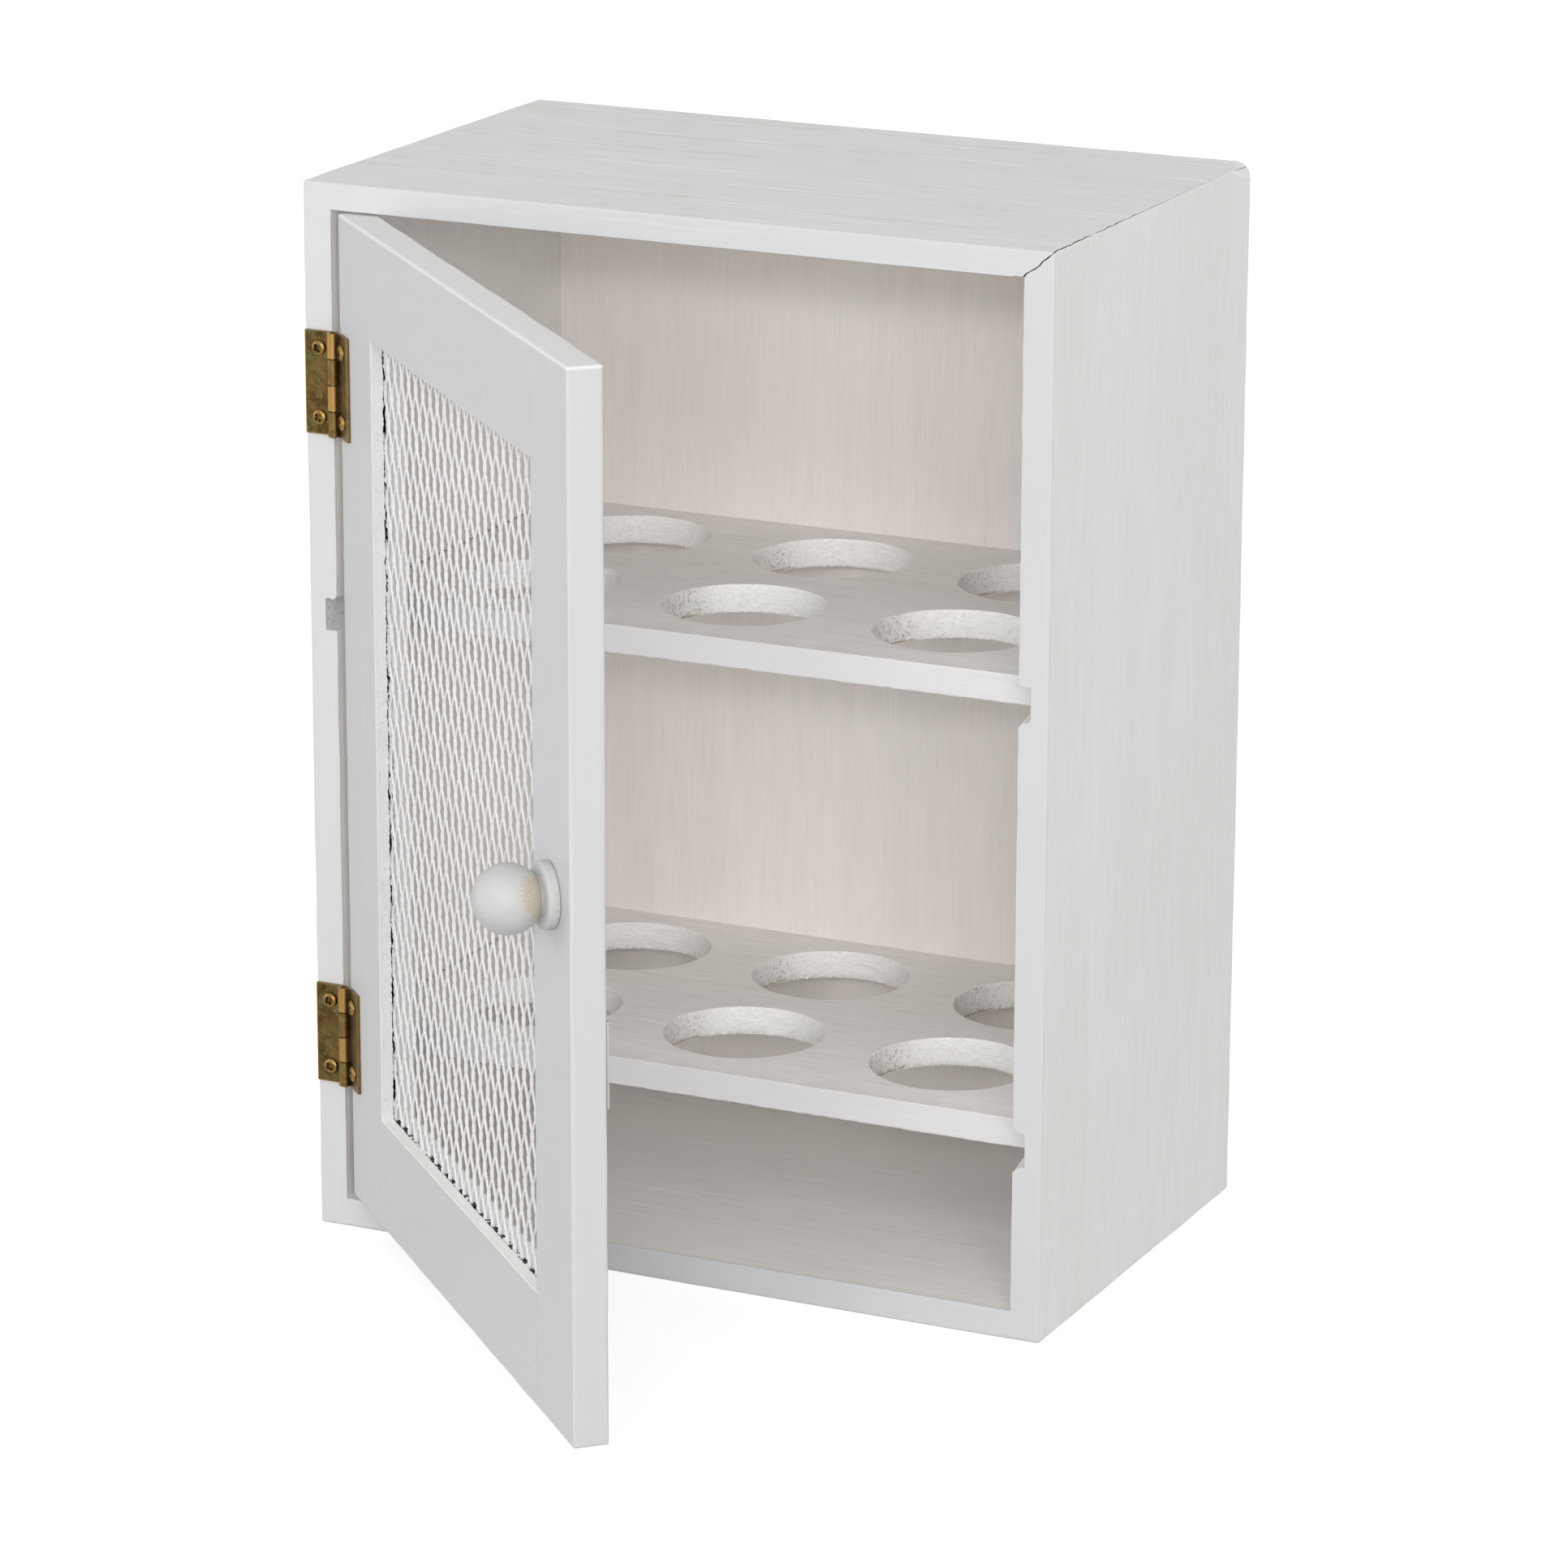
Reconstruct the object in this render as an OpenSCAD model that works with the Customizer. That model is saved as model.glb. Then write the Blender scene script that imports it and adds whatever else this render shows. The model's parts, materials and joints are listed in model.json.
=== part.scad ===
// Egg cupboard: a small mitred cabinet with two bored shelves and a mesh door that stands open.
// The origin is the middle of the cabinet's underside, +X to the right, +Z up, and the front faces -Y.

/* [Cabinet] */
// Outer width of the cabinet
cabinet_w = 192; // [170:1:260]
// Outer depth of the cabinet, without the open door
cabinet_d = 120; // [116:1:180]
// Outer height of the cabinet
cabinet_h = 260; // [220:1:360]
// Thickness of the two side boards
side_t = 7.4; // [6.5:0.1:10]
// Thickness of the top board
top_t = 6.6; // [5.5:0.1:10]
// Thickness of the bottom board
bottom_t = 7.2; // [5.5:0.1:10]
// Easing of every outer edge of the cabinet and the door
edge_r = 0.7; // [0.3:0.1:1.2]
// Width by which the top right mitre has opened at the front
mitre_open = 0.25; // [0.1:0.05:0.6]

/* [Back] */
// Thickness of the plywood back, which is also the depth of its rebate
back_t = 2.4; // [2:0.1:4]
// Width by which the back laps onto each board
rebate_w = 3.6; // [3:0.1:4.4]
// Clearance round the back in its rebate
back_clear = 0.15; // [0.1:0.05:0.4]
// Diameter of the nails that hold the back
nail_d = 1.2; // [1:0.1:1.6]
// Length of the nails
nail_l = 10; // [8:0.5:14]
// Diameter of the nail heads
nail_head_d = 2.2; // [1.8:0.1:2.8]
// Thickness of the nail heads, which lie flush
nail_head_t = 0.5; // [0.3:0.1:0.8]

/* [Shelves] */
// Thickness of both shelves
shelf_t = 7.2; // [6:0.1:10]
// Height of the lower shelf's underside above the base
lower_shelf_z = 43.8; // [30:0.1:60]
// Height of the upper shelf's underside above the base
upper_shelf_z = 151.2; // [130:0.1:165]
// Distance of the shelves' front edges behind the cabinet's front
shelf_setback = 10.2; // [9.6:0.1:16]
// Depth of the housings that carry the shelf ends
dado_d = 3.1; // [2.8:0.1:4.5]
// Room above a shelf in its housing
dado_slack = 0.4; // [0.2:0.1:0.8]
// Clearance at each end of a shelf
shelf_end_clear = 0.2; // [0.1:0.05:0.4]
// Diameter of the holes that hold the eggs
egg_hole_d = 39.4; // [36:0.1:42]
// Distance between neighbouring holes across the shelf
egg_pitch_x = 55.2; // [46:0.1:57]
// Distance between the two rows of holes
egg_pitch_y = 50; // [45:0.1:52]
// Distance from a shelf's front edge to the centres of the first row
first_row = 30.2; // [26:0.1:32]
// Holes across a shelf
egg_columns = 3; // [1:1:3]
// Rows of holes on a shelf
egg_rows = 2; // [1:1:2]

/* [Door] */
// Angle by which the door stands open
door_open = 45; // [0:1:110]
// Thickness of the door's frame
door_t = 8.4; // [8:0.1:9]
// Gap at each side of the closed door
gap_side = 0.8; // [0.5:0.1:1.2]
// Gap above the closed door
gap_top = 0.5; // [0.4:0.1:1.5]
// Gap below the closed door
gap_bottom = 1.6; // [0.6:0.1:2.5]
// Width of both stiles
stile_w = 26; // [22:0.5:32]
// Height of the top rail
top_rail_h = 25.4; // [20:0.2:34]
// Height of the bottom rail
bottom_rail_h = 27.6; // [20:0.2:34]
// Diameter of the dowels that join rails and stiles
dowel_d = 3; // [2.5:0.1:3.6]
// Length of the dowels
dowel_l = 16; // [12:1:20]
// Radial clearance of dowels and nails in their holes
tight_clear = 0.03; // [0.01:0.01:0.05]

/* [Mesh] */
// Thickness of the expanded metal sheet
mesh_t = 0.8; // [0.6:0.1:1]
// Width of the saw kerf that holds the sheet
kerf_w = 1.2; // [1.1:0.1:1.6]
// Depth of the kerf
kerf_d = 4; // [3:0.1:5]
// Distance of the kerf behind the door's front face
kerf_back = 3; // [2:0.1:4]
// Clearance between the sheet's edges and the bottom of the kerf
mesh_edge_clear = 0.5; // [0.3:0.1:0.8]
// Greatest width of one mesh of the sheet
net_pitch_x = 9.6; // [9.6:0.1:12]
// Greatest height of one mesh of the sheet
net_pitch_z = 19.2; // [19.2:0.1:24]
// Width of the bonds where the strands meet
bond_w = 2; // [1.4:0.1:2.4]
// Height of the bonds
bond_l = 5.6; // [4:0.1:7]
// Thickness of the metal at the tip of each mesh
tip_t = 1.2; // [0.8:0.1:1.6]

/* [Hinges] */
// Length of a hinge
hinge_l = 25; // [20:0.5:30]
// Distance from the pin to the outer edge of a leaf
leaf_w = 8; // [7:0.1:8.2]
// Thickness of the leaves
leaf_t = 0.8; // [0.6:0.1:1]
// Outer diameter of the knuckles
knuckle_d = 2.8; // [2.5:0.1:3.4]
// Diameter of the pins
pin_d = 1.4; // [1.1:0.1:1.6]
// Radial running clearance of the pin in the door's knuckles
pin_run = 0.05; // [0.02:0.01:0.1]
// Radial clearance of the pin in the knuckles that grip it
pin_grip = 0.01; // [0.01:0.01:0.02]
// Gap between neighbouring knuckles
knuckle_gap = 0.3; // [0.2:0.05:0.4]
// Distance from the knuckles' backs to the cabinet's front face
knuckle_clear = 0.35; // [0.3:0.05:0.6]
// Distance from the pin back to the middle of the gap beside the door
pin_side = 0.6; // [0.2:0.1:0.8]
// Distance by which a pin stands out below its lowest knuckle
pin_out = 0.4; // [0.2:0.1:1]
// Distance by which a pin's upper end lies below the top of its highest knuckle
pin_sunk = 0.3; // [0.1:0.1:0.6]
// Distance from the middle of a hinge to the near end of the door
hinge_inset = 41; // [26:0.5:60]

/* [Screws] */
// Diameter of the hinge screws' heads
screw_head_d = 3.8; // [3:0.1:4.2]
// Height of the hinge screws' heads
screw_head_h = 0.9; // [0.7:0.05:1]
// Shank diameter of the hinge screws
screw_d = 1.9; // [1.5:0.1:2.1]
// Length of the hinge screws under the head
screw_l = 7; // [5:0.5:7.5]
// Distance between a leaf's two screws
screw_gap = 16.8; // [13:0.2:18]
// Distance from the pin to the screws of a leaf
screw_out = 4.3; // [4.1:0.1:5]
// Radial clearance of the screws in their pilot holes and leaves
screw_clear = 0.1; // [0.05:0.01:0.2]
// Width of the cross recess in a screw head
cross_w = 0.7; // [0.4:0.05:0.8]

/* [Knob] */
// Diameter of the knob's ball
ball_d = 16; // [13:0.5:18]
// Diameter of the knob's flange
flange_d = 15.4; // [12:0.2:20]
// Thickness of the flange's straight rim
flange_t = 2; // [1.5:0.1:3]
// Height of the bevel in front of the rim
bevel_t = 1.2; // [0.6:0.1:1.6]
// Diameter at the front of the bevel
bevel_d = 11; // [9:0.2:12]
// Distance from the door's face to the centre of the ball
knob_reach = 9.8; // [9:0.1:10.4]
// Distance from the knob's axis to the door's free edge
knob_in = 13.8; // [10:0.1:16]
// Height of the knob's axis above the door's lower edge
knob_up = 124.2; // [100:0.1:150]
// Diameter of the knob's screw
knob_screw_d = 3; // [2.5:0.1:3.5]
// Length of the knob's screw under its head
knob_screw_l = 17; // [15:0.5:18]
// Diameter of the knob screw's head
knob_head_d = 6; // [5:0.1:7]
// Height of the knob screw's head
knob_head_h = 1.4; // [1:0.1:1.8]

/* [Catch] */
// Height of the magnetic catch
catch_l = 30; // [24:1:40]
// Depth of the catch
catch_d = 12; // [10:0.5:16]
// Thickness by which the catch stands off the side board
catch_t = 3.3; // [3:0.1:3.5]
// Height of the catch's middle above the base
catch_z = 97; // [85:1:105]
// Length of the magnet
magnet_l = 14; // [8:1:18]
// Depth of the magnet
magnet_d = 5; // [4:0.5:8]
// Thickness of the magnet
magnet_t = 2.2; // [1.8:0.1:2.4]
// Gap between the closed strike plate and the catch
catch_gap = 0.35; // [0.3:0.05:0.6]
// Clearance round the magnet in its pocket
magnet_clear = 0.1; // [0.05:0.05:0.2]
// Distance between the catch's two screws
catch_screw_gap = 22; // [19:0.5:24]
// Shank diameter of the catch's screws
catch_screw_d = 1.8; // [1.5:0.1:2]
// Head diameter of the catch's screws
catch_head_d = 3.4; // [3:0.1:4]
// Height of those heads, which is also the depth of their recess
catch_head_h = 0.8; // [0.6:0.1:1]
// Length of the catch's screws under the head
catch_screw_l = 8; // [6:0.5:8.5]
// Width of the strike plate on the back of the door
strike_w = 12; // [9:0.5:16]
// Height of the strike plate
strike_l = 20; // [16:1:30]
// Thickness of the strike plate
strike_t = 0.6; // [0.5:0.1:0.8]
// Distance from the strike plate to the door's free edge
strike_in = 0.6; // [0.4:0.1:1]

/* [Hidden] */
$fn = 48;

// Cutters run this far past the faces that they open
past = 1;

// Inside of the cabinet
inner_w = cabinet_w - 2 * side_t;
inner_h = cabinet_h - top_t - bottom_t;
front_y = -cabinet_d / 2;
rear_y = cabinet_d / 2;
panel_y = rear_y - back_t;
shelf_front_y = front_y + shelf_setback;
shelf_depth = panel_y - shelf_front_y;
lower_top_z = lower_shelf_z + shelf_t;
upper_top_z = upper_shelf_z + shelf_t;

// Door, measured from the lower front corner on its hinge side
door_w = inner_w - 2 * gap_side;
door_h = inner_h - gap_top - gap_bottom;
door_x = -inner_w / 2 + gap_side;
door_z = bottom_t + gap_bottom;
window_w = door_w - 2 * stile_w;
window_h = door_h - top_rail_h - bottom_rail_h;
kerf_reach = kerf_d - mesh_edge_clear;
mesh_y = kerf_back + (kerf_w - mesh_t) / 2;

// Hinge line and knuckles
pin_x = -inner_w / 2 + gap_side / 2 + pin_side;
pin_y = front_y - knuckle_clear - knuckle_d / 2;
lower_hinge_z = door_z + hinge_inset;
upper_hinge_z = door_z + door_h - hinge_inset;
knuckles = 4;
knuckle_l = (hinge_l - (knuckles - 1) * knuckle_gap) / knuckles;
knuckle_pitch = knuckle_l + knuckle_gap;
// A leaf stops this far from the pin beside the other leaf's knuckles
leaf_stop = knuckle_d / 2 + knuckle_gap;
// Section of a tongue, where a leaf rises into its knuckle, in X from the pin and Y from the wood
tongue = [
    [pin_d / 2, knuckle_clear + knuckle_d / 2], [knuckle_d / 2, knuckle_clear + knuckle_d / 2],
    [leaf_stop + leaf_t / 2, leaf_t], [leaf_stop + leaf_t / 2, 0], [knuckle_d / 2, 0],
    [pin_d / 2, knuckle_clear]
];

// Nails: two in the lowest compartment, then two pairs in each of the others, and two above and below
nail_inset = inner_w / 2 + rebate_w / 2;
nail_heights = [
    (bottom_t + lower_shelf_z) / 2,
    lower_top_z + (upper_shelf_z - lower_top_z) / 4,
    upper_shelf_z - (upper_shelf_z - lower_top_z) / 4,
    upper_top_z + (cabinet_h - top_t - upper_top_z) / 4,
    cabinet_h - top_t - (cabinet_h - top_t - upper_top_z) / 4
];
nail_places = concat(
    [for (side = [-1, 1]) for (z = nail_heights) [side * nail_inset, z]],
    [for (side = [-1, 1]) for (z = [bottom_t - rebate_w / 2, cabinet_h - top_t + rebate_w / 2])
        [side * inner_w / 4, z]]
);

// Catch, whose front face the strike plate meets
catch_y = front_y + door_t + strike_t + catch_gap;

// Corner points of a rectangle with eased corners
function arc(x, y, r, start) = [for (i = [0:2]) [x + r * cos(start + 45 * i), y + r * sin(start + 45 * i)]];
function eased(w, h, r) = concat(
    arc(r, r, r, 180), arc(w - r, r, r, 270), arc(w - r, h - r, r, 0), arc(r, h - r, r, 90)
);

// A block with all its edges eased, its lowest corner at the origin
module eased_block(w, d, h, r) {
    intersection() {
        linear_extrude(h) polygon(eased(w, d, r));
        translate([0, d + past, 0]) rotate([90, 0, 0]) linear_extrude(d + 2 * past) polygon(eased(w, h, r));
        translate([w + past, 0, 0]) rotate([0, -90, 0])
            linear_extrude(w + 2 * past) polygon([for (p = eased(d, h, r)) [p[1], p[0]]]);
    }
}

// An outline in X and Z, cut through the whole depth of the cabinet
module through_depth(points) {
    translate([0, rear_y + past, 0]) rotate([90, 0, 0])
        linear_extrude(cabinet_d + 2 * past) polygon(points);
}

// One board of the carcass: a mitred part of the eased outer block, less the rebate for the back
module board(points) {
    difference() {
        intersection() {
            translate([-cabinet_w / 2, front_y, 0]) eased_block(cabinet_w, cabinet_d, cabinet_h, edge_r);
            through_depth(points);
        }
        translate([-inner_w / 2 - rebate_w, panel_y, bottom_t - rebate_w])
            cube([inner_w + 2 * rebate_w, back_t + past, inner_h + 2 * rebate_w]);
    }
}

// Holes or nails at all nail places, from the back towards the front
module at_nails() {
    for (p = nail_places) translate([p[0], rear_y, p[1]]) rotate([90, 0, 0]) children();
}

module nail_holes() {
    at_nails() cylinder(r = nail_d / 2 + tight_clear, h = nail_l + tight_clear);
}

// Outlines of the mitred boards in X and Z
half_w = cabinet_w / 2;
top_outline = [
    [-half_w, cabinet_h], [-inner_w / 2, cabinet_h - top_t], [inner_w / 2, cabinet_h - top_t], [half_w, cabinet_h]
];
bottom_outline = [[-half_w, 0], [-inner_w / 2, bottom_t], [inner_w / 2, bottom_t], [half_w, 0]];
side_outline = [[half_w, 0], [inner_w / 2, bottom_t], [inner_w / 2, cabinet_h - top_t], [half_w, cabinet_h]];

// The crack in the top right mitre, widest at the front and closed at the back
module mitre_crack() {
    translate([half_w, rear_y, cabinet_h])
        rotate([0, -90 - atan(top_t / side_t), 0])
        translate([0, 0, -past])
        linear_extrude(norm([side_t, top_t]) + 2 * past)
        polygon([[0, 0], [mitre_open, -cabinet_d - past], [0, -cabinet_d - past]]);
}

module top_board() {
    color("gainsboro") difference() {
        board(top_outline);
        nail_holes();
        mitre_crack();
    }
}

module bottom_board() {
    color("whitesmoke") difference() {
        board(bottom_outline);
        nail_holes();
    }
}

// The side board on the right, with the housings for both shelves
module side_board() {
    difference() {
        board(side_outline);
        for (z = [lower_shelf_z, upper_shelf_z]) translate([inner_w / 2 - past, front_y - past, z])
            cube([dado_d + past, cabinet_d + 2 * past, shelf_t + dado_slack]);
        nail_holes();
    }
}

module left_side() {
    color("whitesmoke") difference() {
        mirror([1, 0, 0]) side_board();
        frame_screw_holes();
    }
}

module right_side() {
    color("whitesmoke") difference() {
        side_board();
        at_catch_screws() cylinder(d = catch_screw_d + 2 * screw_clear, h = catch_screw_l + screw_clear);
    }
}

module back_panel() {
    panel_w = inner_w + 2 * rebate_w - 2 * back_clear;
    panel_h = inner_h + 2 * rebate_w - 2 * back_clear;
    color("linen") difference() {
        translate([-panel_w / 2, panel_y, bottom_t - rebate_w + back_clear]) cube([panel_w, back_t, panel_h]);
        at_nails() translate([0, 0, -past])
            cylinder(r = nail_head_d / 2 + tight_clear, h = nail_head_t + past);
        nail_holes();
    }
}

module back_nails() {
    color("silver") at_nails() {
        cylinder(d = nail_head_d, h = nail_head_t);
        cylinder(d = nail_d, h = nail_l);
    }
}

// A shelf whose underside lies at height z
module shelf(z) {
    shelf_w = inner_w + 2 * (dado_d - shelf_end_clear);
    outline = concat(
        arc(edge_r, edge_r, edge_r, 180), [[shelf_t, 0], [shelf_t, shelf_depth], [0, shelf_depth]]
    );
    difference() {
        translate([shelf_w / 2, shelf_front_y, z])
            rotate([0, -90, 0]) linear_extrude(shelf_w) polygon(outline);
        for (i = [0:egg_columns - 1], j = [0:egg_rows - 1])
            translate([
                (i - (egg_columns - 1) / 2) * egg_pitch_x,
                shelf_front_y + first_row + j * egg_pitch_y,
                z - past
            ]) cylinder(d = egg_hole_d, h = shelf_t + 2 * past, $fn = 96);
    }
}

module upper_shelf() {
    color("gainsboro") shelf(upper_shelf_z);
}

module lower_shelf() {
    color("gainsboro") shelf(lower_shelf_z);
}

// Places the closed door, then swings it open about the hinge pin
module hung() {
    translate([pin_x, pin_y, 0]) rotate([0, 0, -door_open]) translate([-pin_x, -pin_y, 0]) children();
}

// Children drawn from the door's lower front corner on the hinge side
module on_door() {
    hung() translate([door_x, front_y, door_z]) children();
}

// Part of the eased door from x0 to x1 and from z0 to z1
module door_part(x0, x1, z0, z1) {
    intersection() {
        eased_block(door_w, door_t, door_h, edge_r);
        translate([x0, -past, z0]) cube([x1 - x0, door_t + 2 * past, z1 - z0]);
    }
}

// The kerf that runs round the window and holds the sheet
module kerf() {
    translate([stile_w - kerf_d, kerf_back, bottom_rail_h - kerf_d])
        cube([window_w + 2 * kerf_d, kerf_w, window_h + 2 * kerf_d]);
}

// Dowels, or their holes, across both joints of each rail
module at_dowels() {
    for (x = [stile_w, door_w - stile_w], share = [1 / 3, 2 / 3]) {
        translate([x, door_t / 2, share * (bottom_rail_h - kerf_d)]) rotate([0, 90, 0]) children();
        translate([x, door_t / 2, door_h - share * (top_rail_h - kerf_d)]) rotate([0, 90, 0]) children();
    }
}

module dowel_holes() {
    at_dowels() cylinder(r = dowel_d / 2 + tight_clear, h = dowel_l + 2 * tight_clear, center = true);
}

module hinge_stile() {
    color("gainsboro") difference() {
        on_door() difference() {
            door_part(0, stile_w, 0, door_h);
            kerf();
            dowel_holes();
        }
        door_screw_holes();
    }
}

module free_stile() {
    color("gainsboro") on_door() difference() {
        door_part(door_w - stile_w, door_w, 0, door_h);
        kerf();
        dowel_holes();
        at_knob() cylinder(d = knob_screw_d + 2 * screw_clear, h = 2 * door_t + 2 * past, center = true);
        at_strike_screw() screw_hole();
    }
}

module door_top_rail() {
    color("gainsboro") on_door() difference() {
        door_part(stile_w, door_w - stile_w, door_h - top_rail_h, door_h);
        kerf();
        dowel_holes();
    }
}

module door_bottom_rail() {
    color("gainsboro") on_door() difference() {
        door_part(stile_w, door_w - stile_w, 0, bottom_rail_h);
        kerf();
        dowel_holes();
    }
}

module door_dowels() {
    color("burlywood") on_door() at_dowels() cylinder(d = dowel_d, h = dowel_l, center = true);
}

// Expanded metal: rows of six-sided gaps between upright bonds, every second row half a mesh aside.
// Gaps on the border of the window are cut off there, and the border itself lies in the kerf.
columns = ceil(window_w / net_pitch_x);
rows = ceil(window_h / net_pitch_z);
cell_x = window_w / columns;
cell_z = window_h / rows;
gap_x = cell_x / 2 - bond_w / 2;
gap_tip = cell_z / 2 - bond_l / 2 - tip_t;
gap_hexagon = [
    [0, gap_tip], [gap_x, bond_l / 2], [gap_x, -bond_l / 2],
    [0, -gap_tip], [-gap_x, -bond_l / 2], [-gap_x, bond_l / 2]
];
gap_right = [gap_hexagon[0], gap_hexagon[1], gap_hexagon[2], gap_hexagon[3]];
gap_left = [gap_hexagon[3], gap_hexagon[4], gap_hexagon[5], gap_hexagon[0]];
gap_up = [[-gap_x, 0], gap_hexagon[5], gap_hexagon[0], gap_hexagon[1], [gap_x, 0]];
gap_down = [[gap_x, 0], gap_hexagon[2], gap_hexagon[3], gap_hexagon[4], [-gap_x, 0]];
function placed(points, x, z) = [for (p = points) [p[0] + x, p[1] + z]];
gaps = concat(
    [for (i = [0:columns - 1], j = [0:rows - 1]) placed(gap_hexagon, (i + 0.5) * cell_x, (j + 0.5) * cell_z)],
    [for (i = [1:columns - 1], j = [1:rows - 1]) placed(gap_hexagon, i * cell_x, j * cell_z)],
    [for (j = [1:rows - 1]) placed(gap_right, 0, j * cell_z)],
    [for (j = [1:rows - 1]) placed(gap_left, window_w, j * cell_z)],
    [for (i = [1:columns - 1]) placed(gap_up, i * cell_x, 0)],
    [for (i = [1:columns - 1]) placed(gap_down, i * cell_x, window_h)]
);

module door_mesh() {
    color("white") on_door() translate([stile_w, mesh_y + mesh_t, bottom_rail_h])
        rotate([90, 0, 0]) linear_extrude(mesh_t) difference() {
            translate([-kerf_reach, -kerf_reach]) square([window_w + 2 * kerf_reach, window_h + 2 * kerf_reach]);
            for (g = gaps) polygon(g);
        }
}

// A raised head with a cross recess, its flat underside at the origin and the shank along -Z
module cross_head(d, h, cross) {
    difference() {
        rotate_extrude() polygon([
            [0, 0], [d / 2, 0], [d / 2, h * 0.3], [d * 0.43, h * 0.68], [d * 0.28, h * 0.92], [0, h]
        ]);
        for (turn = [0, 90]) rotate(turn)
            translate([-d * 0.28, -cross / 2, h * 0.45]) cube([d * 0.56, cross, h]);
    }
}

// A wood screw with its head's underside at the origin, pointing along -Z
module wood_screw(head_d, head_h, shank_d, l, cross) {
    cross_head(head_d, head_h, cross);
    translate([0, 0, -l + shank_d]) cylinder(d = shank_d, h = l - shank_d);
    translate([0, 0, -l]) cylinder(d1 = shank_d * 0.2, d2 = shank_d, h = shank_d);
}

module hinge_screw() {
    wood_screw(screw_head_d, screw_head_h, screw_d, screw_l, cross_w);
}

module screw_hole() {
    translate([0, 0, -screw_l - screw_clear])
        cylinder(d = screw_d + 2 * screw_clear, h = screw_l + screw_clear + past);
}

// Screw places of both hinges, on the cabinet for side -1 and on the closed door for side 1
module at_leaf_screws(side) {
    for (z = [lower_hinge_z, upper_hinge_z], end = [-1, 1])
        translate([pin_x + side * screw_out, front_y - leaf_t, z + end * screw_gap / 2])
            rotate([90, 0, 0]) children();
}

module frame_screw_holes() {
    at_leaf_screws(-1) screw_hole();
}

module door_screw_holes() {
    hung() at_leaf_screws(1) screw_hole();
}

module frame_leaf_screws() {
    color("darkgoldenrod") at_leaf_screws(-1) rotate(25) hinge_screw();
}

module door_leaf_screws() {
    color("darkgoldenrod") hung() at_leaf_screws(1) rotate(70) hinge_screw();
}

// A leaf to the right of the pin, centred on height z, with the second and fourth knuckle from the top
module right_leaf(z, first, bore) {
    difference() {
        union() {
            translate([pin_x + leaf_stop, front_y - leaf_t, z - hinge_l / 2])
                cube([leaf_w - leaf_stop, leaf_t, hinge_l]);
            for (k = [first, first + 2]) translate([pin_x, 0, z + hinge_l / 2 - k * knuckle_pitch - knuckle_l]) {
                translate([0, pin_y, 0]) cylinder(d = knuckle_d, h = knuckle_l);
                translate([0, front_y, 0]) mirror([0, 1, 0]) linear_extrude(knuckle_l) polygon(tongue);
            }
        }
        translate([pin_x, pin_y, z - hinge_l]) cylinder(d = bore, h = 2 * hinge_l);
        for (end = [-1, 1])
            translate([pin_x + screw_out, front_y + past, z + end * screw_gap / 2])
                rotate([90, 0, 0]) cylinder(d = screw_d + 2 * screw_clear, h = leaf_t + 2 * past);
    }
}

// The cabinet's leaf is the mirror of the door's, with the first and third knuckle
module frame_leaf(z) {
    color("darkgoldenrod")
        translate([2 * pin_x, 0, 0]) mirror([1, 0, 0]) right_leaf(z, 0, pin_d + 2 * pin_grip);
}

module door_leaf(z) {
    color("darkgoldenrod") hung() right_leaf(z, 1, pin_d + 2 * pin_run);
}

module upper_frame_leaf() {
    frame_leaf(upper_hinge_z);
}

module lower_frame_leaf() {
    frame_leaf(lower_hinge_z);
}

module upper_door_leaf() {
    door_leaf(upper_hinge_z);
}

module lower_door_leaf() {
    door_leaf(lower_hinge_z);
}

// A plain pin, gripped by the cabinet's knuckles
module hinge_pin(z) {
    color("goldenrod") translate([pin_x, pin_y, z - hinge_l / 2 - pin_out])
        cylinder(d = pin_d, h = hinge_l + pin_out - pin_sunk);
}

module upper_hinge_pin() {
    hinge_pin(upper_hinge_z);
}

module lower_hinge_pin() {
    hinge_pin(lower_hinge_z);
}

// The knob's axis, pointing out of the door's front face
module at_knob() {
    translate([door_w - knob_in, 0, knob_up]) rotate([90, 0, 0]) children();
}

module knob() {
    color("whitesmoke") on_door() at_knob() difference() {
        union() {
            cylinder(d = flange_d, h = flange_t);
            translate([0, 0, flange_t]) cylinder(d1 = flange_d, d2 = bevel_d, h = bevel_t);
            translate([0, 0, knob_reach]) sphere(d = ball_d);
        }
        translate([0, 0, -past])
            cylinder(d = knob_screw_d + 2 * screw_clear, h = knob_screw_l - door_t + screw_clear + past);
    }
}

module knob_screw() {
    color("silver") on_door() translate([door_w - knob_in, door_t, knob_up])
        rotate([-90, 0, 0]) wood_screw(knob_head_d, knob_head_h, knob_screw_d, knob_screw_l, 2 * cross_w);
}

// The catch on the inner face of the right side board, behind the closed door
module catch_block() {
    translate([inner_w / 2 - catch_t, catch_y, catch_z - catch_l / 2]) cube([catch_t, catch_d, catch_l]);
}

// The catch's screws, whose heads lie in recesses, pointing into the side board
module at_catch_screws() {
    for (end = [-1, 1])
        translate([inner_w / 2 - catch_t, catch_y + catch_d / 2, catch_z + end * catch_screw_gap / 2])
            rotate([0, 90, 0]) children();
}

module catch_housing() {
    color("white") difference() {
        catch_block();
        translate([
            inner_w / 2 - catch_t / 2 - magnet_t / 2 - magnet_clear,
            catch_y - past,
            catch_z - magnet_l / 2 - magnet_clear
        ]) cube([magnet_t + 2 * magnet_clear, magnet_d + past, magnet_l + 2 * magnet_clear]);
        at_catch_screws() {
            translate([0, 0, -past]) cylinder(d = catch_head_d + 2 * screw_clear, h = catch_head_h + past);
            cylinder(d = catch_screw_d + 2 * screw_clear, h = catch_t + past);
        }
    }
}

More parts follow.
